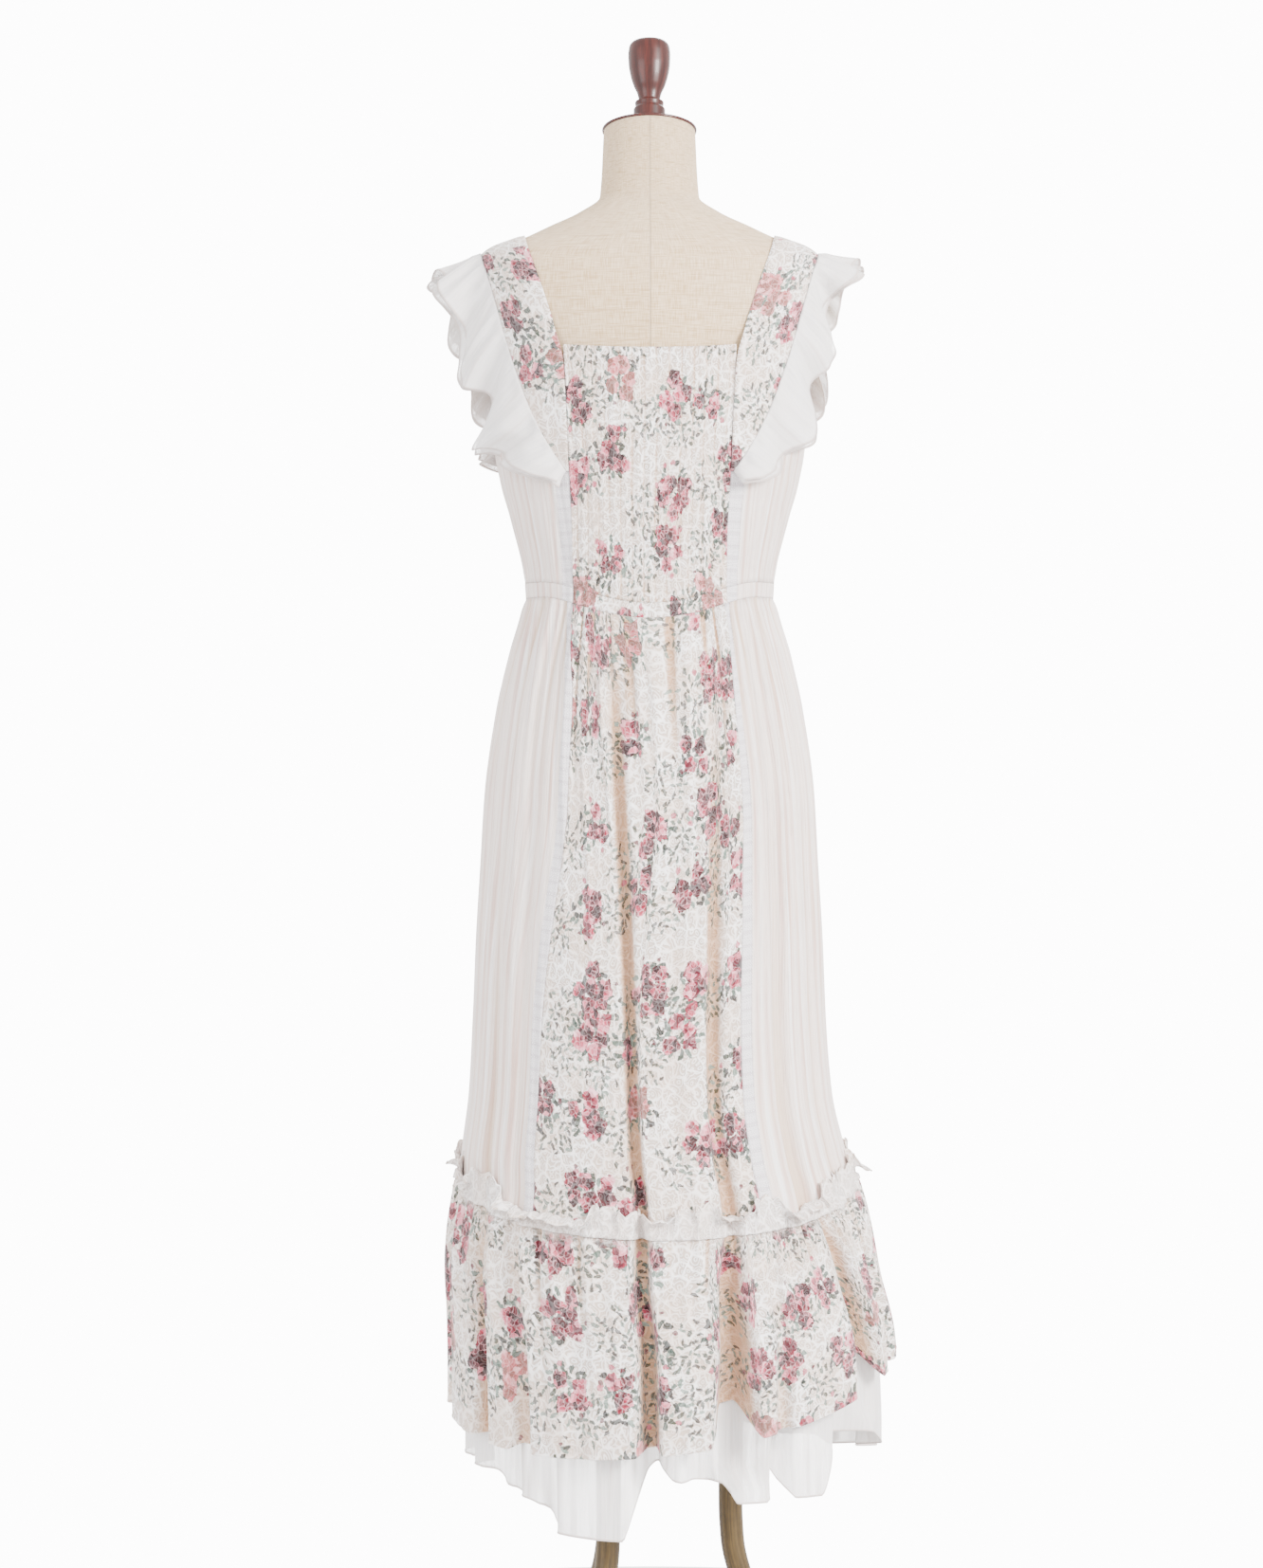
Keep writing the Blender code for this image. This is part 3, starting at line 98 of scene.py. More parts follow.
# The form's sections: height, middle's y, half-width, depth behind and before that middle
FORM_COLUMNS = ("z", "y", "half_width", "back", "front")
FORM_SECTIONS = (
    (0.735, 0.000, 0.148, 0.104, 0.092),
    (0.765, 0.000, 0.152, 0.110, 0.096),
    (0.840, 0.000, 0.153, 0.116, 0.100),
    (0.930, 0.000, 0.147, 0.108, 0.098),
    (1.000, 0.000, 0.131, 0.095, 0.092),
    (1.066, 0.000, 0.1185, 0.0880, 0.0880),
    (1.120, 0.000, 0.1280, 0.0905, 0.0980),
    (1.180, 0.000, 0.1440, 0.0960, 0.1190),
    (1.222, 0.000, 0.1505, 0.0975, 0.1250),
    (1.266, 0.000, 0.1530, 0.0978, 0.1180),
    (1.306, 0.000, 0.1590, 0.0970, 0.1050),
    (1.350, 0.000, 0.1680, 0.0950, 0.0880),
    (1.384, 0.002, 0.1705, 0.0890, 0.0740),
    (1.402, 0.004, 0.1700, 0.0850, 0.0670),
    (1.411, 0.006, 0.1630, 0.0820, 0.0630),
    (1.420, 0.008, 0.1460, 0.0790, 0.0600),
    (1.4290, 0.010, 0.1240, 0.0750, 0.0570),
    (1.4400, 0.012, 0.1005, 0.0690, 0.0530),
    (1.4520, 0.014, 0.0740, 0.0620, 0.0500),
    (1.4700, 0.018, 0.0500, 0.0520, 0.0485),
    (1.5380, 0.031, 0.0461, 0.0470, 0.0470),
)

# The dress's sections without folds: height, middle's x, half-width, depth behind and before
DRESS_COLUMNS = ("z", "x", "half_width", "back", "front")
DRESS_SECTIONS = (
    (0.100, 0.024, 0.2260, 0.212, 0.206),
    (0.240, 0.024, 0.2260, 0.212, 0.206),
    (0.327, 0.022, 0.2240, 0.208, 0.202),
    (0.403, 0.013, 0.2150, 0.196, 0.190),
    (0.441, 0.011, 0.2080, 0.187, 0.181),
    (0.479, 0.009, 0.1990, 0.177, 0.171),
    (0.517, 0.004, 0.1920, 0.169, 0.163),
    (0.574, 0.001, 0.1820, 0.160, 0.154),
    (0.650, 0.000, 0.1770, 0.152, 0.145),
    (0.726, 0.000, 0.1740, 0.146, 0.138),
    (0.802, 0.000, 0.1695, 0.140, 0.130),
    (0.878, 0.000, 0.1650, 0.134, 0.122),
    (0.954, 0.000, 0.1540, 0.124, 0.113),
    (1.011, 0.000, 0.1400, 0.110, 0.103),
    (1.049, 0.000, 0.1280, 0.098, 0.095),
    (1.068, 0.000, 0.1235, 0.0925, 0.092),
    (1.087, 0.000, 0.1250, 0.0930, 0.095),
    (1.144, 0.000, 0.1385, 0.0980, 0.115),
    (1.182, 0.000, 0.1490, 0.1010, 0.127),
    (1.220, 0.000, 0.1555, 0.1025, 0.133),
    (1.262, 0.000, 0.1570, 0.1030, 0.127),
    (1.300, 0.000, 0.1635, 0.1025, 0.1145),
    (1.340, 0.000, 0.1730, 0.1000, 0.099),
)

# Side edges of the centre panels, in degrees from the centre back or front, at shares of the way from the
# waist (0) to the tier seam (1)
SKIRT_EDGE_COLUMNS = ("share_down", "left", "right")
SKIRT_BACK_EDGES = (
    (0.00, -38.0, 36.0),
    (0.17, -29.5, 32.5),
    (0.33, -29.0, 33.0),
    (0.50, -33.0, 31.5),
    (0.67, -36.5, 30.0),
    (1.00, -38.0, 29.0),
)
CENTRE_HALF_WIDTHS = ((1.04, 0.0755), (1.12, 0.0760), (1.20, 0.0800), (1.32, 0.0855))

FOLD_FLOOR = 0.25         # share of a trough's half-width that is its level floor

# Skirt folds: where each trough starts at the waist and ends at the tier seam, in degrees,
# its half-width at both, and how deep it is at the waist, half way and at the tier seam
SKIRT_FOLD_COLUMNS = ("top", "end", "half_top", "half_end", "deep_top", "deep_mid", "deep_end")
SKIRT_FOLDS = (
    (-165.0, -163.0, 8.0, 6.0, 0.000, 0.007, 0.011),
    (-140.0, -142.0, 7.0, 6.0, 0.000, 0.006, 0.010),
    (-118.0, -121.0, 7.0, 6.5, 0.000, 0.005, 0.010),
    (-86.0, -84.0, 6.0, 5.0, 0.000, 0.004, 0.008),
    (-64.0, -60.0, 6.0, 4.5, 0.001, 0.004, 0.009),
    (-45.0, -44.0, 4.0, 4.0, 0.000, 0.003, 0.005),
    (-17.0, -5.5, 3.2, 3.0, 0.005, 0.013, 0.017),
    (9.0, 7.0, 4.0, 3.5, 0.000, 0.002, 0.003),
    (27.0, 20.0, 4.0, 3.6, 0.000, 0.009, 0.014),
    (46.0, 46.0, 5.0, 4.5, 0.001, 0.005, 0.010),
    (63.0, 66.0, 5.0, 5.0, 0.000, 0.004, 0.007),
    (93.0, 92.0, 7.0, 5.5, 0.000, 0.004, 0.009),
    (117.0, 119.0, 7.0, 6.0, 0.000, 0.006, 0.011),
    (141.0, 144.0, 7.0, 6.0, 0.000, 0.006, 0.010),
    (171.0, 170.0, 8.0, 6.0, 0.000, 0.008, 0.012),
)

# Flounce folds: trough's angle at the seam and at the hem, half-widths, depths and the hem's rise there
FLOUNCE_FOLD_COLUMNS = ("top", "end", "half_top", "half_end", "deep_top", "deep_end", "rise")
FLOUNCE_FOLDS = (
    (-163.0, -162.0, 5.0, 7.0, 0.011, 0.030, 0.006),
    (-142.0, -144.0, 4.5, 6.0, 0.010, 0.024, 0.004),
    (-121.0, -120.0, 5.0, 7.0, 0.010, 0.030, 0.006),
    (-100.0, -101.0, 4.0, 5.0, 0.002, 0.016, 0.002),
    (-84.0, -82.0, 4.5, 5.5, 0.008, 0.020, 0.003),
    (-60.0, -58.0, 4.0, 5.0, 0.009, 0.022, 0.004),
    (-44.0, -42.0, 3.5, 4.5, 0.005, 0.013, 0.007),
    (-26.0, -25.0, 3.5, 4.0, 0.000, 0.004, 0.000),
    (-5.5, -6.5, 2.8, 3.6, 0.017, 0.032, 0.006),
    (20.0, 15.5, 3.6, 7.0, 0.014, 0.040, 0.036),
    (31.0, 28.5, 2.5, 3.2, 0.002, 0.011, 0.001),
    (50.0, 60.0, 4.5, 8.0, 0.010, 0.032, 0.038),
    (69.0, 75.0, 4.0, 4.5, 0.007, 0.012, 0.000),
    (94.0, 95.0, 5.0, 5.5, 0.009, 0.018, 0.003),
    (119.0, 117.0, 5.0, 7.0, 0.011, 0.030, 0.006),
    (144.0, 142.0, 4.5, 6.0, 0.010, 0.026, 0.004),
    (170.0, 171.0, 5.0, 7.0, 0.012, 0.032, 0.006),
)

# Underskirt folds: the same columns
UNDER_FOLDS = (
    (-158.0, -158.0, 8.0, 9.0, 0.000, 0.030, 0.0),
    (-132.0, -132.0, 7.0, 8.0, 0.000, 0.026, 0.0),
    (-106.0, -106.0, 7.0, 8.0, 0.000, 0.028, 0.0),
    (-78.0, -78.0, 7.0, 8.0, 0.000, 0.026, 0.0),
    (-49.0, -49.0, 3.5, 4.5, 0.000, 0.012, 0.0),
    (-36.0, -36.0, 3.0, 3.6, 0.000, 0.014, 0.0),
    (-7.5, -7.5, 4.0, 5.5, 0.000, 0.052, 0.0),
    (8.0, 8.0, 5.5, 7.0, 0.000, 0.030, 0.0),
    (29.5, 29.5, 3.0, 4.0, 0.000, 0.026, 0.0),
    (58.0, 58.0, 8.0, 12.0, 0.000, 0.036, 0.0),
    (92.0, 92.0, 7.0, 8.0, 0.000, 0.026, 0.0),
    (118.0, 118.0, 7.0, 8.0, 0.000, 0.030, 0.0),
    (145.0, 145.0, 7.0, 8.0, 0.000, 0.026, 0.0),
    (174.0, 174.0, 7.0, 8.0, 0.000, 0.032, 0.0),
)
# Underskirt's uneven hem: angle, how far above its lowest
UNDER_HEM_RISE = (
    (-180.0, 0.060),
    (-150.0, 0.050),
    (-120.0, 0.060),
    (-95.0, 0.058),
    (-60.0, 0.055),
    (-50.0, 0.040),
    (-39.0, 0.030),
    (-33.0, 0.004),
    (-14.0, 0.000),
    (-9.0, 0.064),
    (-5.0, 0.072),
    (0.0, 0.058),
    (13.0, 0.055),
    (17.0, 0.036),
    (25.0, 0.036),
    (29.5, 0.064),
    (34.0, 0.038),
    (43.0, 0.037),
    (49.0, 0.085),
    (66.0, 0.090),
    (82.0, 0.072),
    (100.0, 0.060),
    (130.0, 0.055),
    (160.0, 0.062),
    (180.0, 0.060),
)
UNDER_INSET = 0.017       # underskirt's crests inside the flounce's
UNDER_CLEAR = 0.0026      # how much looser the underskirt hangs in the flounce at its hem

# Top edge of the bodice's side panels: degrees from the centre back or front, height
ARMHOLE_EDGE = ((43.0, 1.222), (52.0, 1.262), (60.0, 1.297), (68.0, 1.290), (90.0, 1.268))
BODICE_ROWS = 3           # rows of a side panel; the centre panels have twice as many

# A strap's edges: height on the back and front, and how far from the middle its inner and outer edges are
STRAP_SIDE = (
    (1.189, 0.0806, 0.0826),
    (1.222, 0.0822, 0.1045),
    (1.262, 0.0845, 0.1235),
    (1.3135, 0.0885, 0.1400),
    (1.350, 0.0990, 0.1500),
    (1.385, 0.1100, 0.1600),
    (1.412, 0.1200, 0.1690),
)
STRAP_TOP = (0.1240, 0.1705)
SHOULDER_LINE_Y = 0.006   # where the strap crosses the shoulder
STRAP_TOP_LIFT = 0.0010   # more lift over the shoulder
STRAP_TOP_RISE = 0.004    # the strap's outer edge stands up this much there
STRAP_STEPS = 32
# How far a frill stands out from the strap's outer edge, sideways and down, at the strap's rows and over its
# top. The right one hangs closer to the dress.
FRILL_REACH = {
    "left": (
        (0.001, 0.012), (0.030, 0.017), (0.034, 0.044), (0.030, 0.052), (0.030, 0.049), (0.034, 0.040),
        (0.040, 0.027), (0.041, 0.021),
    ),
    "right": (
        (0.001, 0.012), (0.020, 0.020), (0.021, 0.036), (0.018, 0.040), (0.018, 0.034), (0.023, 0.026),
        (0.035, 0.015), (0.038, 0.010),
    ),
}

# The leg's centreline from the hub: distance from the column, height, radius
LEG_PATH = (
    (0.0212, 0.3520, 0.0115),
    (0.0380, 0.3520, 0.0120),
    (0.0560, 0.3510, 0.0125),
    (0.0700, 0.3455, 0.0130),
    (0.0785, 0.3330, 0.0130),
    (0.0812, 0.3160, 0.0128),
    (0.0812, 0.2400, 0.0124),
    (0.0812, 0.1600, 0.0120),
    (0.0830, 0.1250, 0.0118),
    (0.0900, 0.0930, 0.0115),
    (0.1050, 0.0660, 0.0110),
    (0.1300, 0.0440, 0.0105),
    (0.1640, 0.0285, 0.0098),
    (0.2060, 0.0190, 0.0092),
    (0.2440, 0.0156, 0.0089),
    (0.2720, 0.01485, 0.0088),
)

# The turned knob, neck cap and hub: radius, height along their own axes
KNOB_PROFILE = (
    (0.0215, 0.0000), (0.0215, 0.0030), (0.0175, 0.0060), (0.0160, 0.0120), (0.0160, 0.0200),
    (0.0142, 0.0230), (0.0146, 0.0275), (0.0108, 0.0300), (0.0122, 0.0370), (0.0160, 0.0460),
    (0.0192, 0.0570), (0.0210, 0.0680), (0.0214, 0.0790), (0.0205, 0.0870), (0.0165, 0.0915),
    (0.0060, 0.0925),
)
CAP_PROFILE = (
    (0.0450, 0.0000), (0.0468, 0.0001), (0.0476, 0.0008), (0.0478, 0.0018), (0.0475, 0.0028),
    (0.0464, 0.0034), (0.0450, 0.0035), (0.0250, 0.0035), (0.0040, 0.0035),
)
HUB_PROFILE = (
    (0.0110, -0.0560), (0.0160, -0.0500), (0.0150, -0.0420), (0.0190, -0.0320), (0.0205, -0.0180),
    (0.0205, 0.0180), (0.0185, 0.0300), (0.0210, 0.0360), (0.0190, 0.0440), (0.0170, 0.0520),
)


def column(table, columns, name):
    """One named column of a table as an array."""
    return np.array([row[columns.index(name)] for row in table], float)


def run_along(points):
    """How far each point is along the line through the points."""
    return np.concatenate([[0.0], np.cumsum(np.linalg.norm(np.diff(points, axis=0), axis=-1))])


def curve_through(x, knots, values):
    """A smooth curve through the knots, without overshoot at steps."""
    knots, values = np.asarray(knots, float), np.asarray(values, float)
    x = np.clip(np.asarray(x, float), knots[0], knots[-1])
    step = np.diff(knots)
    slope = np.diff(values) / step
    tangent = np.empty_like(values)
    tangent[0], tangent[-1] = slope[0], slope[-1]
    same_way = slope[:-1] * slope[1:] > 0
    both = np.where(same_way, 2 * slope[:-1] * slope[1:] / np.where(same_way, slope[:-1] + slope[1:], 1), 0)
    tangent[1:-1] = both
    i = np.clip(np.searchsorted(knots, x, side="right") - 1, 0, len(step) - 1)
    t = (x - knots[i]) / step[i]
    return (
        (1 + 2 * t) * (1 - t) ** 2 * values[i]
        + t * (1 - t) ** 2 * step[i] * tangent[i]
        + t * t * (3 - 2 * t) * values[i + 1]
        + t * t * (t - 1) * step[i] * tangent[i + 1]
    )


def dress_section(z):
    heights = column(DRESS_SECTIONS, DRESS_COLUMNS, "z")
    return [curve_through(z, heights, column(DRESS_SECTIONS, DRESS_COLUMNS, n)) for n in DRESS_COLUMNS[1:]]


def form_section(z):
    heights = column(FORM_SECTIONS, FORM_COLUMNS, "z")
    return [curve_through(z, heights, column(FORM_SECTIONS, FORM_COLUMNS, n)) for n in FORM_COLUMNS[1:]]


def off_section(angle, z, off):
    """The point that lies off the dress's plain section by that much, at an angle and a height."""
    middle, half, back, front = dress_section(z)
    a = np.radians(angle)
    depth = np.where(np.cos(a) > 0, back, front)
    nx, ny = np.sin(a) / half, -np.cos(a) / depth
    length = np.hypot(nx, ny)
    x = middle + half * np.sin(a) + nx / length * off
    y = -depth * np.cos(a) + ny / length * off
    return np.stack(np.broadcast_arrays(x, y, z), axis=-1)


def turned(angle):
    """An angle brought to between -180 and 180 degrees."""
    return (np.asarray(angle, float) + 180.0) % 360.0 - 180.0


def waist_z(angle):
    a = turned(angle)
    return WAIST_Z - WAIST_DROP * np.where(np.abs(a) < 60, np.cos(np.radians(1.5 * a)) ** 2, 0)


def tier_z(angle):
    return TIER_Z - TIER_DROP * np.maximum(np.cos(np.radians(angle)), 0)


def folds_of(table, columns, angle, share_down):
    """(turn, depth, rise) of a fold table at the cloth's own angle: how far the cloth is turned there, how
    deep it lies and how much its hem is lifted."""
    ends, tops = column(table, columns, "end"), column(table, columns, "top")
    knots = np.concatenate([ends - 360, ends, ends + 360])
    turns = np.tile(tops - ends, 3)
    settled = 1 - (1 - share_down) ** 2
    turn = np.interp(angle, knots, turns) * (1 - settled)
    depth, rise = np.zeros(np.shape(angle)), np.zeros(np.shape(angle))
    for row in table:
        r = dict(zip(columns, row))
        half = r["half_top"] + (r["half_end"] - r["half_top"]) * share_down
        t = np.clip((np.abs(turned(angle - r["end"])) / half - FOLD_FLOOR) / (1 - FOLD_FLOOR), 0, 1)
        bump = np.cos(np.pi / 2 * t) ** 2
        middle = r.get("deep_mid", (r["deep_top"] + r["deep_end"]) / 2)
        deep = curve_through(share_down, (0.0, 0.45, 1.0), (r["deep_top"], middle, r["deep_end"]))
        depth = depth + deep * bump
        rise = rise + r.get("rise", 0.0) * bump
    return turn, depth, rise


def skirt_point(angle, share_down, off=0.0):
    """The skirt's outer face. The angle is the cloth's own, at the tier seam."""
    turn, depth, _ = folds_of(SKIRT_FOLDS, SKIRT_FOLD_COLUMNS, angle, share_down)
    at = angle + turn
    z = waist_z(at) + (tier_z(at) - waist_z(at)) * share_down
    return off_section(at, z, waist_fold(at, share_down) - depth + off)


def flounce_share_z(angle, share_down):
    turn, depth, rise = folds_of(FLOUNCE_FOLDS, FLOUNCE_FOLD_COLUMNS, angle, share_down)
    at = angle + turn
    a = np.radians(at)
    hem = HEM_Z + HEM_TILT * np.sin(a) - HEM_DROP * np.maximum(np.cos(a), 0) + rise
    return at, depth, tier_z(at) + (hem - tier_z(at)) * share_down


def flounce_point(angle, share_down, off=0.0):
    at, depth, z = flounce_share_z(angle, share_down)
    fade = np.clip(1 - share_down / 0.7, 0, 1)
    gather = FLOUNCE_GATHER_HEIGHT * fade * np.cos(np.radians(FLOUNCE_GATHERS * at))
    return off_section(at, z, gather - depth + off)


def place_of(points):
    """(angle, off) of points: where they are round the dress's plain section and how far off it."""
    middle, half, back, front = dress_section(points[..., 2])
    depth = np.where(points[..., 1] < 0, back, front)
    a = np.arctan2((points[..., 0] - middle) / half, -points[..., 1] / depth)
    for _ in range(4):
        depth = np.where(np.cos(a) > 0, back, front)
        sx, sy = middle + half * np.sin(a), -depth * np.cos(a)
        tx, ty = half * np.cos(a), depth * np.sin(a)
        speed = np.hypot(tx, ty)
        off = ((points[..., 0] - sx) * ty - (points[..., 1] - sy) * tx) / speed
        along = ((points[..., 0] - sx) * tx + (points[..., 1] - sy) * ty) / speed
        a = a + along / (speed + off)
    return np.degrees(a), off


def refined(grid, row_steps, column_steps):
    """A grid of points with more rows and columns between its own."""
    for axis, times in ((0, row_steps), (1, column_steps)):
        count = grid.shape[axis]
        fine = np.linspace(0, count - 1, (count - 1) * times + 1)
        low = np.minimum(fine.astype(int), count - 2)
        share = (fine - low).reshape((-1, 1, 1) if axis == 0 else (1, -1, 1))
        grid = np.take(grid, low, axis) * (1 - share) + np.take(grid, low + 1, axis) * share
    return grid


class Reach:
    """How far in (sign -1) or out (sign 1) some walls reach, at each angle and height."""

    low, step, count = 0.10, 0.004, 140

    def __init__(self, grids, sign, spread=3, below=0, fineness=1):
        self.fineness = fineness
        table = np.full((360 * fineness, self.count), -1.0)
        for grid in grids:
            fine = refined(grid, 2, fineness).reshape(-1, 3)
            angle, off = place_of(fine)
            i = np.round(angle * fineness).astype(int) % len(table)
            j = np.clip(np.round((fine[:, 2] - self.low) / self.step).astype(int), 0, self.count - 1)
            np.maximum.at(table, (i, j), sign * off)
        for axis, least, most in ((0, -spread, spread), (1, -1 - below, 1)):
            table = np.max([self.moved(table, s, axis) for s in range(least, most + 1)], axis=0)
        empty = table < -0.5
        table[empty] = -0.2
        shifts = range(-spread, spread + 1)
        self.table = np.mean([self.moved(table, s, 0) for s in shifts], axis=0)

    @staticmethod
    def moved(table, by, axis):
        if axis == 0:
            return np.roll(table, by, axis=0)
        out = np.full_like(table, -1.0)
        if by > 0:
            out[:, by:] = table[:, :-by]
        elif by < 0:
            out[:, :by] = table[:, -by:]
        else:
            out[:] = table
        return out

    def at(self, angle, z):
        angle, z = np.broadcast_arrays(np.asarray(angle, float), np.asarray(z, float))
        row = np.clip((z - self.low) / self.step, 0, self.count - 1.001)
        place = angle * self.fineness
        i, j = np.floor(place).astype(int), row.astype(int)
        s, t = place - i, row - j
        near, far = i % len(self.table), (i + 1) % len(self.table)
        return (
            self.table[near, j] * (1 - s) * (1 - t)
            + self.table[far, j] * s * (1 - t)
            + self.table[near, j + 1] * (1 - s) * t
            + self.table[far, j + 1] * s * t
        )


def under_point(angle, share_down, flounce, off=0.0):
    """The underskirt hangs inside the flounce's folds, from just under the tier seam."""
    _, depth, _ = folds_of(UNDER_FOLDS, FLOUNCE_FOLD_COLUMNS, angle, share_down)
    rise = curve_through(turned(angle), *zip(*UNDER_HEM_RISE))
    top = tier_z(angle) - UNDER_TOP_BELOW_TIER
    z = top + (UNDER_HEM_Z + rise - top) * share_down
    own = depth + UNDER_INSET * np.clip(share_down * 2.5, 0, 1)
    held = flounce.at(angle, z) + LAYER_GAP + UNDER_CLEAR * share_down
    return off_section(angle, z, off - np.maximum(own, held))


def half_seam(z):
    """Half of a seam's gap as an angle at a height."""
    _, half, back, front = dress_section(z)
    return np.degrees(SEAM_GAP / 2 / np.minimum(half, np.minimum(back, front)))


def cloth_angle(table, columns, at, share):
    """The cloth's own angle that lies at an angle round the body."""
    own = np.arange(-400.0, 761.0, 0.5)
    turn, _, _ = folds_of(table, columns, own, np.full_like(own, share))
    return float(np.interp(at, own + turn, own))


def skirt_edges(share):
    """Left and right edge of the back and front centre panels, as the cloth's own angles."""
    shares = column(SKIRT_BACK_EDGES, SKIRT_EDGE_COLUMNS, "share_down")
    left = curve_through(share, shares, column(SKIRT_BACK_EDGES, SKIRT_EDGE_COLUMNS, "left")).item()
    right = curve_through(share, shares, column(SKIRT_BACK_EDGES, SKIRT_EDGE_COLUMNS, "right")).item()
    spots = (left, right, 180.0 - right, 180.0 - left)
    return [cloth_angle(SKIRT_FOLDS, SKIRT_FOLD_COLUMNS, s, share) for s in spots]


def bodice_gather(angle, z):
    """Soft gathers in the side panels, strongest at the waist."""
    fade = np.clip(1 - (z - WAIST_Z) / 0.12, 0.15, 1)
    return BODICE_GATHER_HEIGHT * fade * np.cos(np.radians(WAIST_GATHERS * angle))


def casing_top(angle):
    return waist_z(angle) + CASING_HEIGHT


def centre_edge(z):
    """Half-width of the centre panels as an angle from the centre back."""
    heights, halves = zip(*CENTRE_HALF_WIDTHS)
    half = curve_through(z, heights, halves)
    return np.degrees(np.arcsin(half / dress_section(z)[1]))


def bodice_top(front):
    return FRONT_NECKLINE_Z if front else NECKLINE_Z


def seam_heights(front):
    """Heights of the rows along the seam between the centre and side panels, up to the neckline."""
    edge = centre_edge(WAIST_Z + CASING_HEIGHT).item()
    low = casing_top(180.0 - edge if front else edge).item() + SEAM_GAP
    return low + (bodice_top(front) - low) * np.arange(2 * BODICE_ROWS + 1) / (2 * BODICE_ROWS)


def armhole_z(from_middle, front):
    """Top edge of the side panels, which meets the centre panel's seam half way up."""
    meets = seam_heights(front)[BODICE_ROWS]
    knots, heights = zip((centre_edge(meets).item(), meets), *ARMHOLE_EDGE)
    return curve_through(from_middle, knots, heights)


def worn_section(z):
    """What straps and frills lie on: the dress's section low down, the form's over the shoulder."""
    t = eased(z - 1.305, 0.055)
    _, half, back, front = dress_section(z)
    y, form_half, form_back, form_front = form_section(z)
    half = half + (form_half - half) * t
    back = back + (form_back - back) * t
    front = front + (form_front - front) * t
    return y * t, half, back, front


def worn_distance(points):
    """(distance, outward direction) of points from what straps and frills lie on."""
    def share(p):
        middle, half, back, front = worn_section(p[..., 2])
        depth = np.where(p[..., 1] < middle, back, front)
        return np.hypot(p[..., 0] / half, (p[..., 1] - middle) / depth) - 1

    step = 5e-4
    rises = [(share(points + e) - share(points - e)) / (2 * step) for e in np.eye(3) * step]
    rise = np.stack(rises, axis=-1)
    length = np.linalg.norm(rise, axis=-1)
    return share(points) / length, rise / length[..., None]


def on_worn(x, z, front, limit=0.985):
    """Points behind or before the middle at an x and a height, on what straps and frills lie on."""
    middle, half, back, front_depth = worn_section(z)
    reach = np.clip(np.abs(x) / half, 0, limit)
    y = middle + np.where(front, front_depth, -back) * np.sqrt(1 - reach**2)
    return np.stack([x, y, z], axis=-1)


def shoulder_top(x):
    """Height of the form's shoulder line at a distance from the middle."""
    z = np.linspace(1.402, 1.46, 60)
    return np.interp(x, form_section(z)[1][::-1], z[::-1])


def along(rows, steps):
    """More rows between key rows, on smooth curves."""
    keys = np.arange(len(rows))
    fine = np.linspace(0, len(rows) - 1, steps + 1)
    shape = rows.reshape(len(rows), -1)
    smooth = np.stack([curve_through(fine, keys, shape[:, i]) for i in range(shape.shape[1])], axis=-1)
    return smooth.reshape(steps + 1, *rows.shape[1:])


def both_ways(grid, rows, columns):
    """More rows and columns between a grid's own, on smooth curves."""
    return np.swapaxes(along(np.swapaxes(along(grid, rows), 0, 1), columns), 0, 1)


def strap_face(side):
    """A strap's outer face: rows from the back's tip over the shoulder, columns from its inner edge."""
    across = np.array([0.0, 0.34, 0.68, 1.0])
    keys = []
    for z, inner, outer in STRAP_SIDE:
        x = (inner + (outer - inner) * across) * side
        keys.append(on_worn(x, np.full_like(x, z), False))
    top_x = STRAP_TOP[0] + (STRAP_TOP[1] - STRAP_TOP[0]) * across
    top_z = shoulder_top(top_x) + STRAP_LIFT
    keys.append(np.stack([top_x * side, np.full_like(top_x, SHOULDER_LINE_Y), top_z], axis=-1))
    for z, inner, outer in reversed(STRAP_SIDE):
        x = (inner + (outer - inner) * across) * side
        keys.append(on_worn(x, np.full_like(x, z), True))
    face = along(np.array(keys), STRAP_STEPS)
    from_top = np.abs(np.linspace(-1, 1, STRAP_STEPS + 1))[:, None]
    near_top = np.clip(1 - from_top / 0.5, 0, 1)
    lift = STRAP_LIFT + STRAP_TOP_LIFT * near_top
    face = off_worn(face, lift, -0.02)
    for _ in range(3):
        face[1:-1] = face[1:-1] / 2 + (face[:-2] + face[2:]) / 4
        face = off_worn(face, lift, 0.0)
    face[..., 2] += STRAP_TOP_RISE * near_top * across[None, :] ** 2
    return face, worn_distance(face)[1]


def off_worn(points, lift, furthest_in):
    """Points moved out to a distance from what straps and frills lie on, or in towards it."""
    for _ in range(8):
        distance, out = worn_distance(points)
        points = points + out * np.clip(lift - distance, furthest_in, 0.02)[..., None]
    return points


def grid_normals(grid, outward):
    """Normals of a grid of points, on the side of outward."""
    normal = np.cross(np.gradient(grid, axis=0), np.gradient(grid, axis=1))
    normal /= np.maximum(np.linalg.norm(normal, axis=-1, keepdims=True), 1e-9)
    facing = np.sum(normal * outward, axis=-1, keepdims=True)
    return normal * np.where(facing < 0, -1, 1)


# Fine shapes
SHELL = 0.0009            # wall of the fine lace and voile shells
SHEER = 0.0006            # wall of the fine chiffon shells
COLUMN_LOW, COLUMN_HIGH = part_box("stand_column")
AXIS = np.array([(COLUMN_LOW.x + COLUMN_HIGH.x) / 2, (COLUMN_LOW.y + COLUMN_HIGH.y) / 2, 0.0])

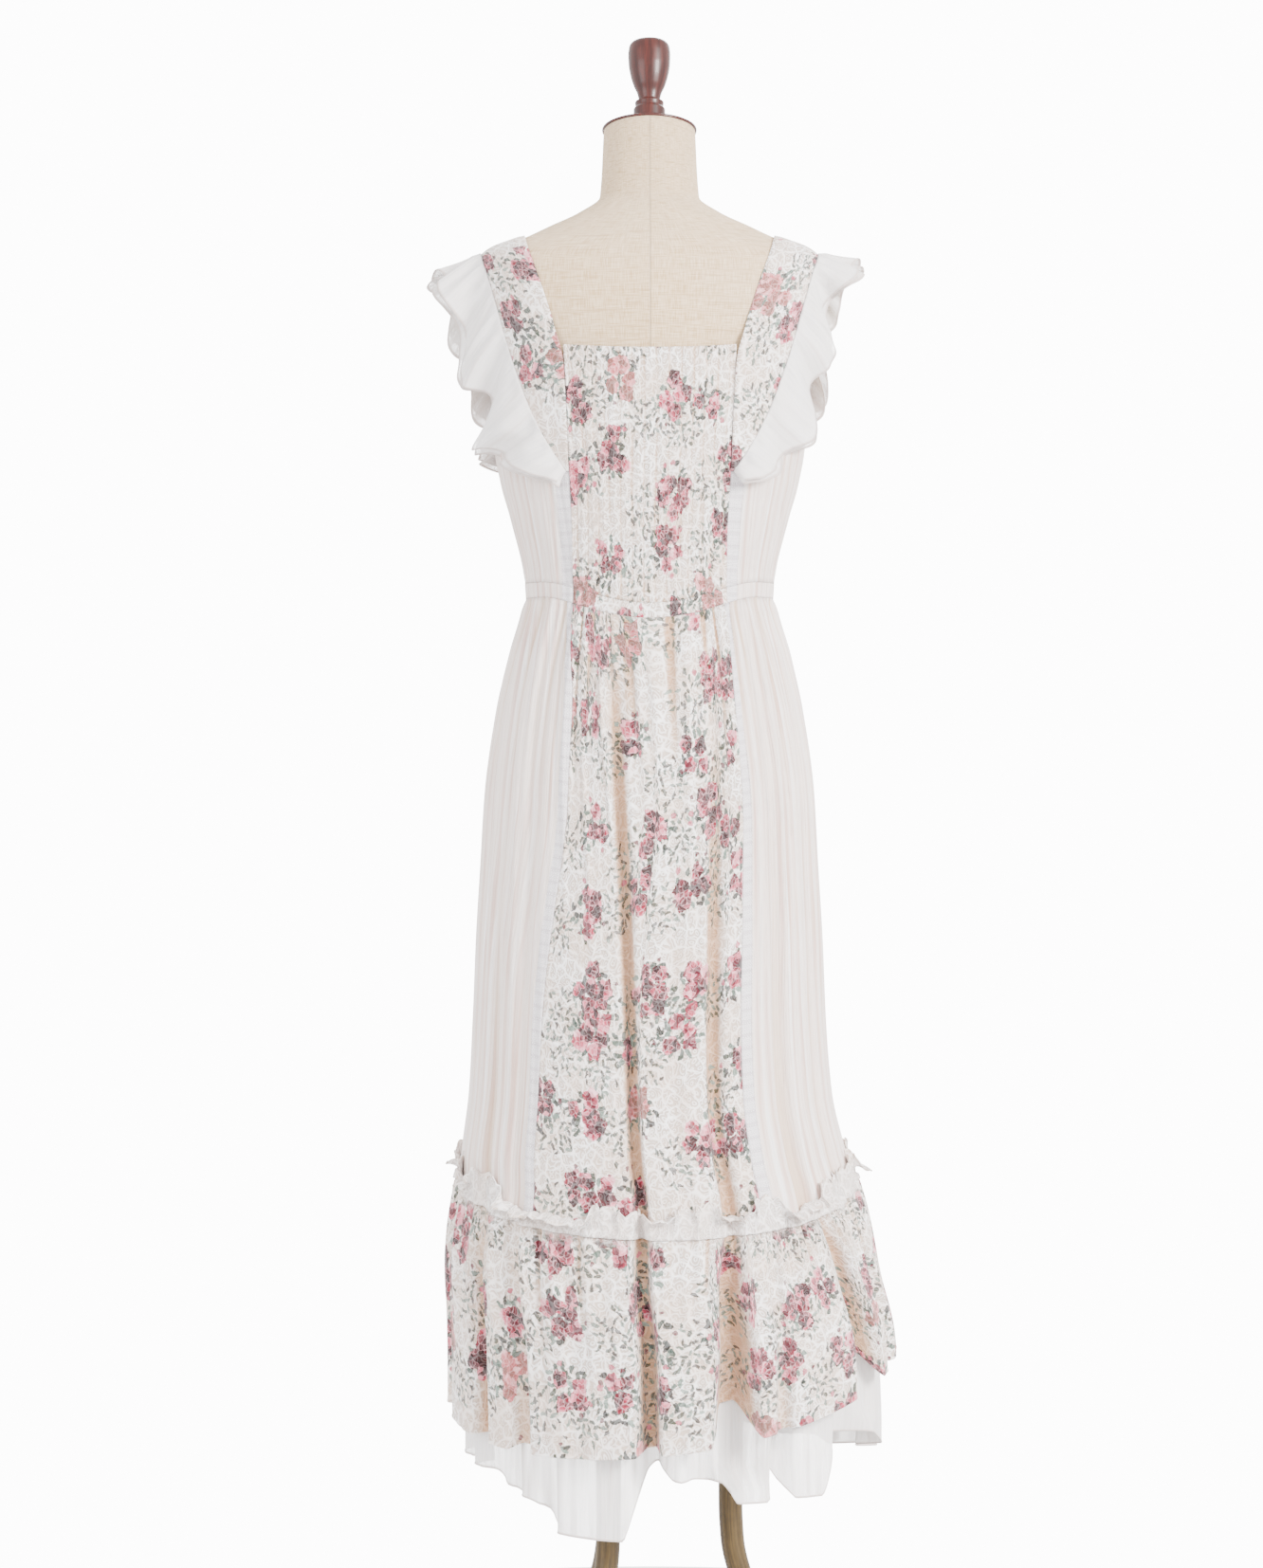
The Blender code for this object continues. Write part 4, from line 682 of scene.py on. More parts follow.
# Small gathers: how many go all round, and the seed of their unevenness
WAIST_SET = (68, 11)
PUCKER_SET = (84, 61)
PLEAT_SET = (118, 21)
FLOUNCE_SET = (92, 31)
CRINKLE_SET = (150, 63)
WAIST_SMALL_HEIGHT = 0.0015
PUCKER_HEIGHT = 0.00055
PLEAT_HEIGHT = 0.00045
CREASE_STRENGTH = 1.25    # the heights in the two tables of creases are multiplied by this
WAIST_HOLD = 0.014        # share of the skirt's length over which its folds come free of the waist seam

# Lesser creases of the skirt, and then of the flounce: where each starts and ends, as the cloth's own angle,
# between which shares of the length it runs, its half-width in degrees, and its height, or its depth if that
# is below zero
SKIRT_CREASES = (
    (-84.0, -82.0, 0.05, 0.80, 2.6, -0.0022),
    (-77.0, -76.0, 0.00, 0.62, 2.0, 0.0020),
    (-71.0, -69.0, 0.10, 1.00, 2.2, -0.0024),
    (-63.0, -55.0, 0.30, 1.05, 2.4, 0.0020),
    (-57.0, -52.0, 0.00, 0.55, 1.8, -0.0020),
    (-52.0, -49.0, 0.05, 0.90, 1.6, 0.0018),
    (-47.0, -41.0, 0.00, 0.70, 1.5, -0.0018),
    (-41.0, -38.5, 0.10, 1.05, 1.5, -0.0014),
    (-34.0, -29.0, -0.10, 0.42, 1.4, -0.0020),
    (-30.0, -24.0, -0.10, 0.66, 1.5, 0.0020),
    (-25.0, -19.0, -0.10, 0.34, 1.2, -0.0024),
    (-21.5, -13.0, -0.10, 0.95, 1.4, 0.0020),
    (-13.0, 1.0, -0.10, 0.60, 1.3, 0.0024),
    (-9.0, -1.5, -0.10, 0.28, 1.1, -0.0026),
    (-5.5, 3.0, -0.10, 0.55, 1.4, 0.0018),
    (-2.0, 5.0, -0.10, 0.38, 1.0, -0.0022),
    (2.5, 8.0, -0.10, 0.74, 1.5, 0.0016),
    (6.5, 12.0, -0.10, 0.30, 1.1, -0.0024),
    (11.0, 11.0, -0.10, 0.52, 1.3, 0.0018),
    (14.5, 14.0, -0.10, 0.90, 1.4, -0.0020),
    (19.0, 26.0, -0.10, 0.46, 1.4, 0.0022),
    (23.5, 29.0, -0.10, 0.40, 1.2, -0.0024),
    (30.5, 27.0, -0.10, 0.85, 1.3, 0.0016),
    (34.5, 33.0, -0.10, 0.58, 1.4, -0.0018),
    (39.5, 36.5, 0.00, 0.95, 1.5, 0.0018),
    (44.0, 41.0, 0.05, 0.60, 1.4, -0.0018),
    (50.0, 52.0, 0.00, 1.05, 1.8, 0.0018),
    (56.0, 58.0, 0.10, 0.75, 1.8, -0.0024),
    (62.0, 61.0, 0.00, 0.50, 1.7, 0.0020),
    (68.0, 72.0, 0.15, 1.05, 2.2, -0.0022),
    (75.0, 78.0, 0.00, 0.70, 2.0, 0.0022),
    (83.0, 85.0, 0.10, 1.00, 2.4, -0.0020),
    (101.0, 104.0, 0.00, 0.70, 2.2, 0.0020),
    (110.0, 111.0, 0.05, 0.95, 2.2, -0.0022),
    (126.0, 129.0, 0.00, 0.60, 2.0, -0.0022),
    (134.0, 135.0, 0.10, 1.05, 1.9, 0.0020),
    (149.0, 152.0, -0.10, 0.55, 1.6, -0.0024),
    (155.0, 158.0, -0.10, 0.85, 1.7, 0.0020),
    (163.0, 162.0, -0.10, 0.40, 1.4, -0.0022),
    (177.0, 178.0, -0.10, 0.75, 1.6, 0.0022),
    (-176.0, -177.0, -0.10, 0.36, 1.4, -0.0024),
    (-169.0, -171.0, -0.10, 0.60, 1.5, 0.0018),
    (-157.0, -155.0, -0.10, 0.70, 1.5, -0.0022),
    (-150.0, -150.0, -0.10, 1.00, 1.8, 0.0020),
    (-132.0, -134.0, 0.00, 0.55, 1.8, 0.0020),
    (-127.0, -129.0, 0.05, 0.95, 2.0, -0.0022),
    (-108.0, -110.0, 0.00, 0.75, 2.2, 0.0020),
    (-99.0, -101.0, 0.10, 1.00, 2.4, -0.0022),
)
FLOUNCE_CREASES = (
    (-88.0, -90.0, -0.20, 0.60, 1.6, 0.0026),
    (-78.0, -74.0, -0.20, 0.90, 1.8, -0.0028),
    (-71.0, -66.0, -0.20, 1.20, 2.2, 0.0030),
    (-66.0, -64.0, -0.20, 0.45, 1.4, -0.0024),
    (-54.0, -52.0, -0.20, 0.75, 1.6, -0.0026),
    (-50.0, -49.0, -0.20, 1.20, 1.8, 0.0022),
    (-37.0, -36.0, -0.20, 0.60, 1.5, 0.0024),
    (-33.5, -34.0, -0.20, 1.00, 1.4, -0.0026),
    (-29.0, -30.0, -0.20, 0.45, 1.2, 0.0022),
    (-22.0, -21.0, -0.20, 0.80, 1.4, -0.0024),
    (-18.0, -17.0, -0.20, 0.50, 1.3, 0.0022),
    (-13.5, -14.0, -0.20, 1.20, 1.6, 0.0024),
    (-10.5, -12.0, -0.20, 0.40, 1.1, -0.0022),
    (0.0, -1.0, -0.20, 0.70, 1.4, -0.0026),
    (4.0, 3.5, -0.20, 1.20, 1.7, 0.0024),
    (9.0, 7.0, -0.20, 0.55, 1.3, -0.0026),
    (13.0, 10.0, -0.20, 0.40, 1.2, 0.0020),
    (25.5, 23.5, -0.20, 1.20, 1.2, 0.0024),
    (36.0, 34.0, -0.20, 0.80, 1.4, -0.0024),
    (40.0, 42.0, -0.20, 1.20, 1.8, 0.0026),
    (45.0, 47.0, -0.20, 0.50, 1.4, -0.0022),
    (57.0, 68.0, -0.20, 0.70, 1.6, 0.0024),
    (63.0, 71.0, -0.20, 0.45, 1.4, -0.0022),
    (76.0, 81.0, -0.20, 1.20, 1.8, 0.0026),
    (84.0, 87.0, -0.20, 0.70, 1.6, -0.0026),
    (101.0, 104.0, -0.20, 1.20, 2.0, 0.0028),
    (109.0, 108.0, -0.20, 0.60, 1.8, -0.0026),
    (127.0, 126.0, -0.20, 0.50, 1.6, 0.0024),
    (134.0, 133.0, -0.20, 1.20, 2.0, -0.0026),
    (152.0, 151.0, -0.20, 0.70, 1.7, -0.0028),
    (158.0, 159.0, -0.20, 1.20, 2.0, 0.0026),
    (-176.0, -178.0, -0.20, 0.70, 1.8, -0.0028),
    (-170.0, -171.0, -0.20, 0.45, 1.5, 0.0024),
    (-154.0, -154.0, -0.20, 1.20, 2.0, 0.0028),
    (-149.0, -150.0, -0.20, 0.60, 1.4, -0.0024),
    (-133.0, -132.0, -0.20, 1.20, 1.9, 0.0026),
    (-128.0, -128.0, -0.20, 0.50, 1.4, -0.0024),
    (-111.0, -110.0, -0.20, 0.80, 1.8, -0.0026),
    (-95.0, -94.0, -0.20, 1.20, 1.8, 0.0024),
)


def wobble(x, seed, waves):
    """A smooth uneven value from about -1 to 1 that comes round again after 360."""
    rng = np.random.default_rng(seed)
    total = 0.0
    for wave in waves:
        total = total + rng.uniform(0.6, 1.0) * np.sin(np.radians(wave * x) + rng.uniform(0, 2 * np.pi))
    return total / math.sqrt(len(waves))


def gathers(angle, count, seed):
    """Uneven little folds side by side, from -1 to 1."""
    phase = np.radians(count * angle) + 1.9 * wobble(angle, seed, (3, 5, 8, 13))
    height = 0.68 + 0.32 * wobble(angle, seed + 1, (6, 11, 17, 23))
    return np.cos(phase) * height


def creases(table, angle, share):
    """The height of the lesser creases at the cloth's own angle and share down."""
    total = np.zeros(np.broadcast(angle, share).shape)
    for top, end, start, stop, half, height in table:
        middle = top + (end - top) * np.clip(share, 0, 1)
        across = np.clip(np.abs(turned(angle - middle)) / half, 0, 1)
        along_it = np.clip((share - start) / (stop - start), 0, 1)
        swell = np.sin(np.pi * along_it) ** 0.7 * np.clip(1.25 - along_it, 0.25, 1)
        total = total + height * (1 - across**2) ** 2 * swell
    return total


def eased(distance, over):
    """From 0 at a seam to 1 at a distance from it."""
    t = np.clip(distance / over, 0, 1)
    return t * t * (3 - 2 * t)


def own_waist_gathers(angle, share):
    """The skirt's small gathers under the waist seam."""
    fade = np.clip(1 - share / 0.34, 0, 1) ** 1.3
    return WAIST_SMALL_HEIGHT * fade * gathers(angle, *WAIST_SET)


def waist_pucker(angle):
    """The small gathers that the waist's elastic holds on both sides of its seams."""
    return PUCKER_HEIGHT * gathers(angle, *PUCKER_SET)


def waist_fold(angle, share):
    """The skirt's larger gathers at the waist."""
    fade = np.clip(1 - share / 0.42, 0, 1) ** 1.5
    return WAIST_GATHER_HEIGHT * fade * np.cos(np.radians(WAIST_GATHERS * angle))


def fine_skirt(angle, share, off=0.0):
    """The skirt's outer face with its lesser creases, held small and even at the waist seam."""
    pleats = PLEAT_HEIGHT * gathers(angle, *PLEAT_SET) * np.clip(0.35 + share, 0, 1)
    pleats = pleats * np.clip((1.0 - share) / 0.05, 0, 1)
    rise = CREASE_STRENGTH * creases(SKIRT_CREASES, angle, share) + own_waist_gathers(angle, share) + pleats
    turn, depth, _ = folds_of(SKIRT_FOLDS, SKIRT_FOLD_COLUMNS, angle, share)
    own = waist_fold(angle + turn, share) - depth
    free = eased(share, WAIST_HOLD)
    held = waist_pucker(angle + turn)
    return skirt_point(angle, share, off + (own + rise) * free + held * (1 - free) - own)


def skirt_fold_shade(angle, share):
    """How deep in a fold the skirt lies, from 0 to 1, for the painted shade that darkens the cloth's colour
    in its folds.
    """
    turn, depth, _ = folds_of(SKIRT_FOLDS, SKIRT_FOLD_COLUMNS, angle, share)
    valley = -creases(SKIRT_CREASES, angle, share) - own_waist_gathers(angle, share)
    valley = valley - 0.6 * waist_fold(angle + turn, share)
    near_waist = np.clip(1.05 - share / 0.5, 0.18, 1)
    return np.maximum(np.clip(depth / 0.012, 0, 1), np.clip(valley / 0.0014, 0, 1) * near_waist * 0.80)


def fine_flounce(angle, share, off=0.0):
    """The flounce's outer face: tight gathers that stand out just under the seam, and lesser creases."""
    tight = np.clip(1 - share / 0.5, 0, 1) ** 1.2
    small = (0.0017 * tight + 0.0003) * gathers(angle, *FLOUNCE_SET)
    rise = CREASE_STRENGTH * creases(FLOUNCE_CREASES, angle, share) + small
    level = (LAYER_GAP + SHELL) * np.exp(-((share / 0.05) ** 2))
    bubble = 0.0026 * (share / 0.16) * np.exp(1 - share / 0.16)
    return flounce_point(angle, share, off + rise * eased(share + 0.012, 0.05) + level + bubble)


def flounce_fold_shade(angle, share):
    """The flounce's depth in its folds, from 0 to 1, for the painted shade that darkens the cloth's colour in
    its folds.
    """
    _, depth, _ = folds_of(FLOUNCE_FOLDS, FLOUNCE_FOLD_COLUMNS, angle, share)
    small = 0.0014 * gathers(angle, *FLOUNCE_SET) * np.clip(1 - share / 0.5, 0, 1)
    valley = -creases(FLOUNCE_CREASES, angle, share) - small
    return np.maximum(np.clip(depth / 0.020, 0, 1), np.clip(valley / 0.0028, 0, 1) * 0.62)


def flat_places(across, down):
    """The cloth's own flat coordinates of a grid of points."""
    return np.stack(np.broadcast_arrays(across, down), axis=-1)


def between(left, right, gap, across):
    """Angles of a panel's grid, with a row for each pair of edges, kept half a seam's gap inside them."""
    return (left + gap)[:, None] * (1 - across) + (right - gap)[:, None] * across


def even_columns(point, left, right, count):
    """Columns spaced mostly by the cloth's own width at its lower edge: their shares and flat places."""
    share = np.linspace(0, 1, 4 * count + 1)
    run = run_along(point(left + (right - left) * share, np.ones_like(share)))
    mixed = 0.75 * run / run[-1] + 0.25 * share
    across = np.interp(np.linspace(0, 1, count + 1), mixed, share)
    return across, np.interp(across, share, run) - run[-1] / 2


def outward_normals(grid, all_round=False):
    """Normals of a grid of points that runs down and round, pointing away from the body."""
    if all_round:
        wide = np.concatenate([grid[:, -2:], grid, grid[:, :2]], axis=1)
        along_u = np.gradient(wide, axis=1)[:, 2:-2]
    else:
        along_u = np.gradient(grid, axis=1)
    along_v = np.gradient(grid, axis=0)
    normal = np.cross(along_v, along_u)
    return normal / np.maximum(np.linalg.norm(normal, axis=-1, keepdims=True), 1e-12)


def rolled_hem(distance, width=0.0022, height=0.0005):
    """How much a rolled hem swells the cloth, by the distance from its edge."""
    t = (distance - width / 2) / (width / 2)
    return height * np.sqrt(np.clip(1 - t * t, 0, 1))


def mesh_object(name, points, faces, finish):
    """A smooth-shaded object with one material."""
    mesh = bpy.data.meshes.new(name)
    mesh.from_pydata(np.asarray(points, float).tolist(), [], faces)
    mesh.shade_smooth()
    mesh.update()
    obj = bpy.data.objects.new(name, mesh)
    mesh.materials.append(finish)
    bpy.context.scene.collection.objects.link(obj)
    return obj


def grid_faces(rows, columns, all_round, shift):
    """The quads of a grid of points, with the first point's number."""
    r, c = np.meshgrid(np.arange(rows - 1), np.arange(columns if all_round else columns - 1), indexing="ij")
    d = (c + 1) % columns
    corners = [r * columns + c, (r + 1) * columns + c, (r + 1) * columns + d, r * columns + d]
    return np.stack(corners, axis=-1).reshape(-1, 4) + shift


def corner_points(mesh):
    """The number of the point at each corner of the faces."""
    corners = np.empty(len(mesh.loops), int)
    mesh.loops.foreach_get("vertex_index", corners)
    return corners


def wrapped(places, columns):
    """Column numbers of quads' corners. In the quads that close a ring, the first column counts as one more
    than the last."""
    faces = places.reshape(-1, 4)
    closing = (faces.max(axis=1) == columns - 1) & (faces.min(axis=1) == 0)
    return np.where(closing[:, None] & (faces == 0), columns, faces).ravel()


def set_flat(mesh, coordinates):
    """Stores the cloth's flat coordinates at the faces' corners."""
    mesh.uv_layers.new(name="cloth").data.foreach_set("uv", coordinates.astype(np.float32).ravel())


def shell(name, outer, thickness, finish, flat, marks, all_round=False, inward=None):
    """A closed cloth shell under a grid of points, rows down and columns round. flat holds the cloth's own
    flat coordinates in metres, and marks are named values for each point that the materials read."""
    rows, columns = outer.shape[:2]
    inward = -outward_normals(outer, all_round) if inward is None else inward
    inner = outer + inward * thickness
    points = np.concatenate([outer.reshape(-1, 3), inner.reshape(-1, 3)]) + AXIS
    shift = rows * columns
    last = np.arange(columns if all_round else columns - 1)
    following = (last + 1) % columns
    foot = (rows - 1) * columns
    edges = [(last, following), (foot + following, foot + last)]
    if not all_round:
        down = np.arange(rows - 1) * columns
        end = down + columns - 1
        edges += [(down + columns, down), (end, end + columns)]
    rims = [np.stack([a, b, b + shift, a + shift], axis=-1) for a, b in edges]
    sides = [grid_faces(rows, columns, all_round, 0), grid_faces(rows, columns, all_round, shift)[:, ::-1]]
    obj = mesh_object(name, points, np.concatenate([*sides, *rims]).tolist(), finish)
    spot = corner_points(obj.data) % shift
    row, place_round = spot // columns, spot % columns
    if all_round:
        place_round = wrapped(place_round, columns)
    set_flat(obj.data, flat[row, place_round])
    for word, values in marks.items():
        attribute = obj.data.attributes.new(word, "FLOAT", "POINT")
        both = np.tile(np.broadcast_to(values, (rows, columns)).ravel(), 2)
        attribute.data.foreach_set("value", both.astype(np.float32))
    return place(obj)


def place(obj, *nodes, slot=None):
    """Puts a piece on the one body and hides the solids that it stands for; slot is not used."""
    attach(obj, "root")
    if nodes:
        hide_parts(*nodes)
    return obj


def dense_to(count, hem=None):
    """Shares from 0 to 1, with extra rows at the hem a little closer together than the share named."""
    shares = np.linspace(0.0, 1.0, count)
    if hem:
        shares = np.concatenate([shares, [1 - hem * k for k in (0.25, 0.5, 0.75, 1.0, 1.4)]])
    return np.unique(shares)


# Materials


def linear(code):
    """A colour from its sRGB hex code."""
    parts = [int(code[i : i + 2], 16) / 255 for i in (0, 2, 4)]
    return tuple(p / 12.92 if p <= 0.04045 else ((p + 0.055) / 1.055) ** 2.4 for p in parts) + (1.0,)


class Nodes:
    """Builds one material's nodes. A value is a node's output, a number, a vector or a colour's hex code."""

    def __init__(self, name, roughness, **uniform):
        self.material = bpy.data.materials.new(name)
        self.material.use_nodes = True
        self.tree = self.material.node_tree
        self.shader = self.tree.nodes["Principled BSDF"]
        self.shader.inputs["Roughness"].default_value = roughness
        for socket, value in uniform.items():
            self.shader.inputs[socket.replace("_", " ")].default_value = value

    def node(self, kind, **settings):
        made = self.tree.nodes.new(kind)
        for key, value in settings.items():
            setattr(made, key, value)
        return made

    def join(self, values, sockets):
        """Links each value to its socket, or sets the socket to it."""
        for value, socket in zip(values, sockets):
            if isinstance(value, str):
                value = linear(value)
            if isinstance(value, (int, float)):
                socket.default_value = value
            elif isinstance(value, tuple):
                socket.default_value = value[: len(socket.default_value)]
            else:
                self.tree.links.new(value, socket)

    def math(self, operation, *values, clamp=False):
        made = self.node("ShaderNodeMath", operation=operation, use_clamp=clamp)
        self.join(values, made.inputs)
        return made.outputs[0]

    def plus(self, a, b, clamp=False):
        return self.math("ADD", a, b, clamp=clamp)

    def minus(self, a, b):
        return self.math("SUBTRACT", a, b)

    def times(self, first, *others):
        for other in others:
            first = self.math("MULTIPLY", first, other)
        return first

    def above(self, a, b):
        return self.math("GREATER_THAN", a, b)

    def below(self, a, b):
        return self.math("LESS_THAN", a, b)

    def vector_math(self, operation, *values, out=0):
        made = self.node("ShaderNodeVectorMath", operation=operation)
        self.join(values, made.inputs)
        return made.outputs[out]

    def scaled(self, vector, factor):
        made = self.node("ShaderNodeVectorMath", operation="SCALE")
        self.join((vector, factor), (made.inputs[0], made.inputs["Scale"]))
        return made.outputs[0]

    def parts(self, vector):
        made = self.node("ShaderNodeSeparateXYZ")
        self.join((vector,), made.inputs)
        return made.outputs[0], made.outputs[1], made.outputs[2]

    def colour_parts(self, colour):
        made = self.node("ShaderNodeSeparateColor")
        self.join((colour,), made.inputs)
        return made.outputs[0], made.outputs[1], made.outputs[2]

    def mix(self, share, a, b):
        made = self.node("ShaderNodeMix", data_type="RGBA")
        self.join((share, a, b), (made.inputs[0], made.inputs[6], made.inputs[7]))
        return made.outputs[2]

    def ranged(self, value, low, high, out_low=0.0, out_high=1.0, smooth=False):
        made = self.node("ShaderNodeMapRange", interpolation_type="SMOOTHSTEP" if smooth else "LINEAR")
        self.join((value, low, high, out_low, out_high), made.inputs)
        return made.outputs[0]

    def ramp(self, value, *stops, constant=False):
        made = self.node("ShaderNodeValToRGB")
        made.color_ramp.interpolation = "CONSTANT" if constant else "LINEAR"
        while len(made.color_ramp.elements) < len(stops):
            made.color_ramp.elements.new(0.5)
        for element, (at, colour) in zip(made.color_ramp.elements, stops):
            element.position = at
            element.color = linear(colour)
        self.join((value,), made.inputs)
        return made.outputs[0]

    def noise(self, vector, scale, detail=2.0, roughness=0.5, colour=False):
        made = self.node("ShaderNodeTexNoise")
        sockets = [made.inputs[word] for word in ("Vector", "Scale", "Detail", "Roughness")]
        self.join((vector, scale, detail, roughness), sockets)
        return made.outputs[1 if colour else 0]

    def cells(self, vector, scale, randomness=1.0, feature="F1"):
        made = self.node("ShaderNodeTexVoronoi", voronoi_dimensions="2D", feature=feature)
        sockets = [made.inputs[word] for word in ("Vector", "Scale", "Randomness")]
        self.join((vector, scale, randomness), sockets)
        return made

    def flat_cloth(self):
        return self.node("ShaderNodeUVMap", uv_map="cloth").outputs[0]

    def streaks(self, across, along_it, detail=2.0, roughness=0.5):
        """Noise on the flat cloth with that many spots to the metre across and along it."""
        u, v, _ = self.parts(self.flat_cloth())
        made = self.node("ShaderNodeCombineXYZ")
        self.join((self.times(u, across), self.times(v, along_it)), made.inputs)
        return self.noise(made.outputs[0], 1.0, detail, roughness)

    def weave(self, pitch):
        """Threads over and under each other, from -1 to 1, at a pitch in metres."""
        u, v, _ = self.parts(self.flat_cloth())
        turn = 2 * math.pi / pitch
        return self.times(self.math("SINE", self.times(u, turn)), self.math("SINE", self.times(v, turn)))

    def mark(self, name):
        return self.node("ShaderNodeAttribute", attribute_name=name).outputs["Fac"]

    def object_place(self):
        return self.node("ShaderNodeTexCoord").outputs["Object"]

    def bump(self, height, distance, strength=1.0, after=None):
        made = self.node("ShaderNodeBump")
        sockets = [made.inputs[word] for word in ("Height", "Distance", "Strength")]
        self.join((height, distance, strength), sockets)
        if after is not None:
            self.tree.links.new(after, made.inputs["Normal"])
        return made.outputs[0]

    def finish(self, colour, roughness=None, normal=None, alpha=None):
        values = {"Base Color": colour, "Roughness": roughness, "Normal": normal, "Alpha": alpha}
        for socket, value in values.items():
            if value is not None:
                self.tree.links.new(value, self.shader.inputs[socket])
        return self.material


CLUSTER_SPACING = 0.073
ROSE_SPACING = 0.0165
PETAL_SPACING = 0.0056
BUD_SPACING = 0.0110
LEAF_SPACING = 0.0086
TWIG_SPACING = 0.0072
# Leaves and twigs: seed, reach round a cluster, length and width, and then the ink's strength
LEAVES, LEAF_INK = (0.0, 0.0225, 0.0066, 0.0024), 0.92
TWIGS, TWIG_INK = (0.37, 0.0240, 0.0044, 0.0016), 0.85
ROSE_INK, BUD_INK = 0.96, 0.85
PRINT_JITTER = 0.0050     # how far the cloth's texture breaks up the print's edges


def lace_relief(n, cloth):
    """The lace's raised pattern, from 0 to 1: a fine net, curling cords, and larger woven leaves."""
    net = n.cells(cloth, 620.0, 0.35, "DISTANCE_TO_EDGE").outputs["Distance"]
    threads = n.ranged(net, 0.02, 0.16, 1.0, 0.0)
    swirl = n.vector_math("ADD", cloth, n.scaled(n.noise(cloth, 42.0, 1.0, colour=True), 0.018))
    petals = n.cells(swirl, 112.0, 0.9).outputs["Distance"]
    rings = n.math("ABSOLUTE", n.math("SINE", n.times(petals, 9.0)))
    cords = n.ranged(rings, 0.60, 0.92, smooth=True)
    bent = n.vector_math("ADD", cloth, n.scaled(n.noise(cloth, 70.0, 2.0, colour=True), 0.014))
    veins = n.cells(bent, 78.0, 1.0, "DISTANCE_TO_EDGE").outputs["Distance"]
    woven = n.ranged(veins, 0.03, 0.17, 1.0, 0.0, smooth=True)
    raised = n.math("MAXIMUM", n.times(threads, 0.30), n.times(cords, 0.80))
    return n.math("MAXIMUM", raised, woven), cords


def print_clusters(n, point):
    """The nearest cluster of the print: how far its middle is, where it is, and its own random colour."""
    near = n.cells(point, 1 / CLUSTER_SPACING, 0.66)
    metres = n.times(near.outputs["Distance"], CLUSTER_SPACING)
    return metres, near.outputs["Position"], near.outputs["Color"]


def roses(n, drawn):
    """The clusters' roses: their colour and where they are."""
    rose = n.cells(drawn, 1 / ROSE_SPACING, 0.72)
    spot = rose.outputs["Position"]
    hue, turn, size = n.colour_parts(rose.outputs["Color"])
    away, _, cluster_colour = print_clusters(n, spot)
    cluster_size, cluster_pale, _ = n.colour_parts(cluster_colour)
    near = n.below(away, n.ranged(cluster_size, 0.0, 1.0, 0.0165, 0.0250))
    local = n.vector_math("SUBTRACT", drawn, spot)
    x, y, _ = n.parts(local)
    theta = n.plus(n.times(n.math("ARCTAN2", y, x), 5.0), n.times(turn, 6.28))
    edge = n.plus(n.ranged(size, 0.0, 1.0, 0.0082, 0.0110), n.times(n.math("SINE", theta), 0.0009))
    ring = n.math("DIVIDE", n.vector_math("LENGTH", local, out=1), edge)
    petal = n.cells(drawn, 1 / PETAL_SPACING, 1.0)
    lot, _, _ = n.colour_parts(petal.outputs["Color"])
    rims = n.cells(drawn, 1 / PETAL_SPACING, 1.0, "DISTANCE_TO_EDGE").outputs["Distance"]
    stroke = n.times(n.ranged(rims, 0.03, 0.14, 0.50, 0.0), n.above(lot, 0.35))
    petal_shade = n.times(n.minus(lot, 0.5), 1.15)
    shade = n.plus(n.plus(n.times(ring, 0.50), 0.10), petal_shade, clamp=True)
    deep = n.ramp(shade, (0.0, "2C020C"), (0.36, "560519"), (0.62, "780A24"),
                  (0.76, "B3334E"), (1.0, "E58796"))
    pale = n.ramp(shade, (0.0, "5C0820"), (0.28, "8E1733"), (0.48, "B93B54"),
                  (0.70, "DA7A8A"), (1.0, "F1B6BD"))
    tone = n.mix(n.above(hue, 0.70), deep, pale)
    tone = n.mix(stroke, tone, "F0B4BC")
    faded = n.times(n.above(cluster_pale, 0.86), 0.30)
    tone = n.mix(faded, tone, "D5917F")
    return tone, n.times(near, n.below(ring, 1.0))


def small_roses(n, drawn):
    """Rosebuds round the clusters."""
    bud = n.cells(drawn, 1 / BUD_SPACING, 0.9)
    lot, size, _ = n.colour_parts(bud.outputs["Color"])
    away, _, _ = print_clusters(n, bud.outputs["Position"])
    near = n.times(n.above(away, 0.020), n.below(away, 0.033))
    metres = n.times(bud.outputs["Distance"], BUD_SPACING)
    inside = n.below(metres, n.ranged(size, 0.0, 1.0, 0.0018, 0.0034))
    shown = n.times(near, n.above(lot, 0.80))
    tone = n.mix(n.above(size, 0.5), "5A0A20", "B24A60")
    return tone, n.times(shown, inside)


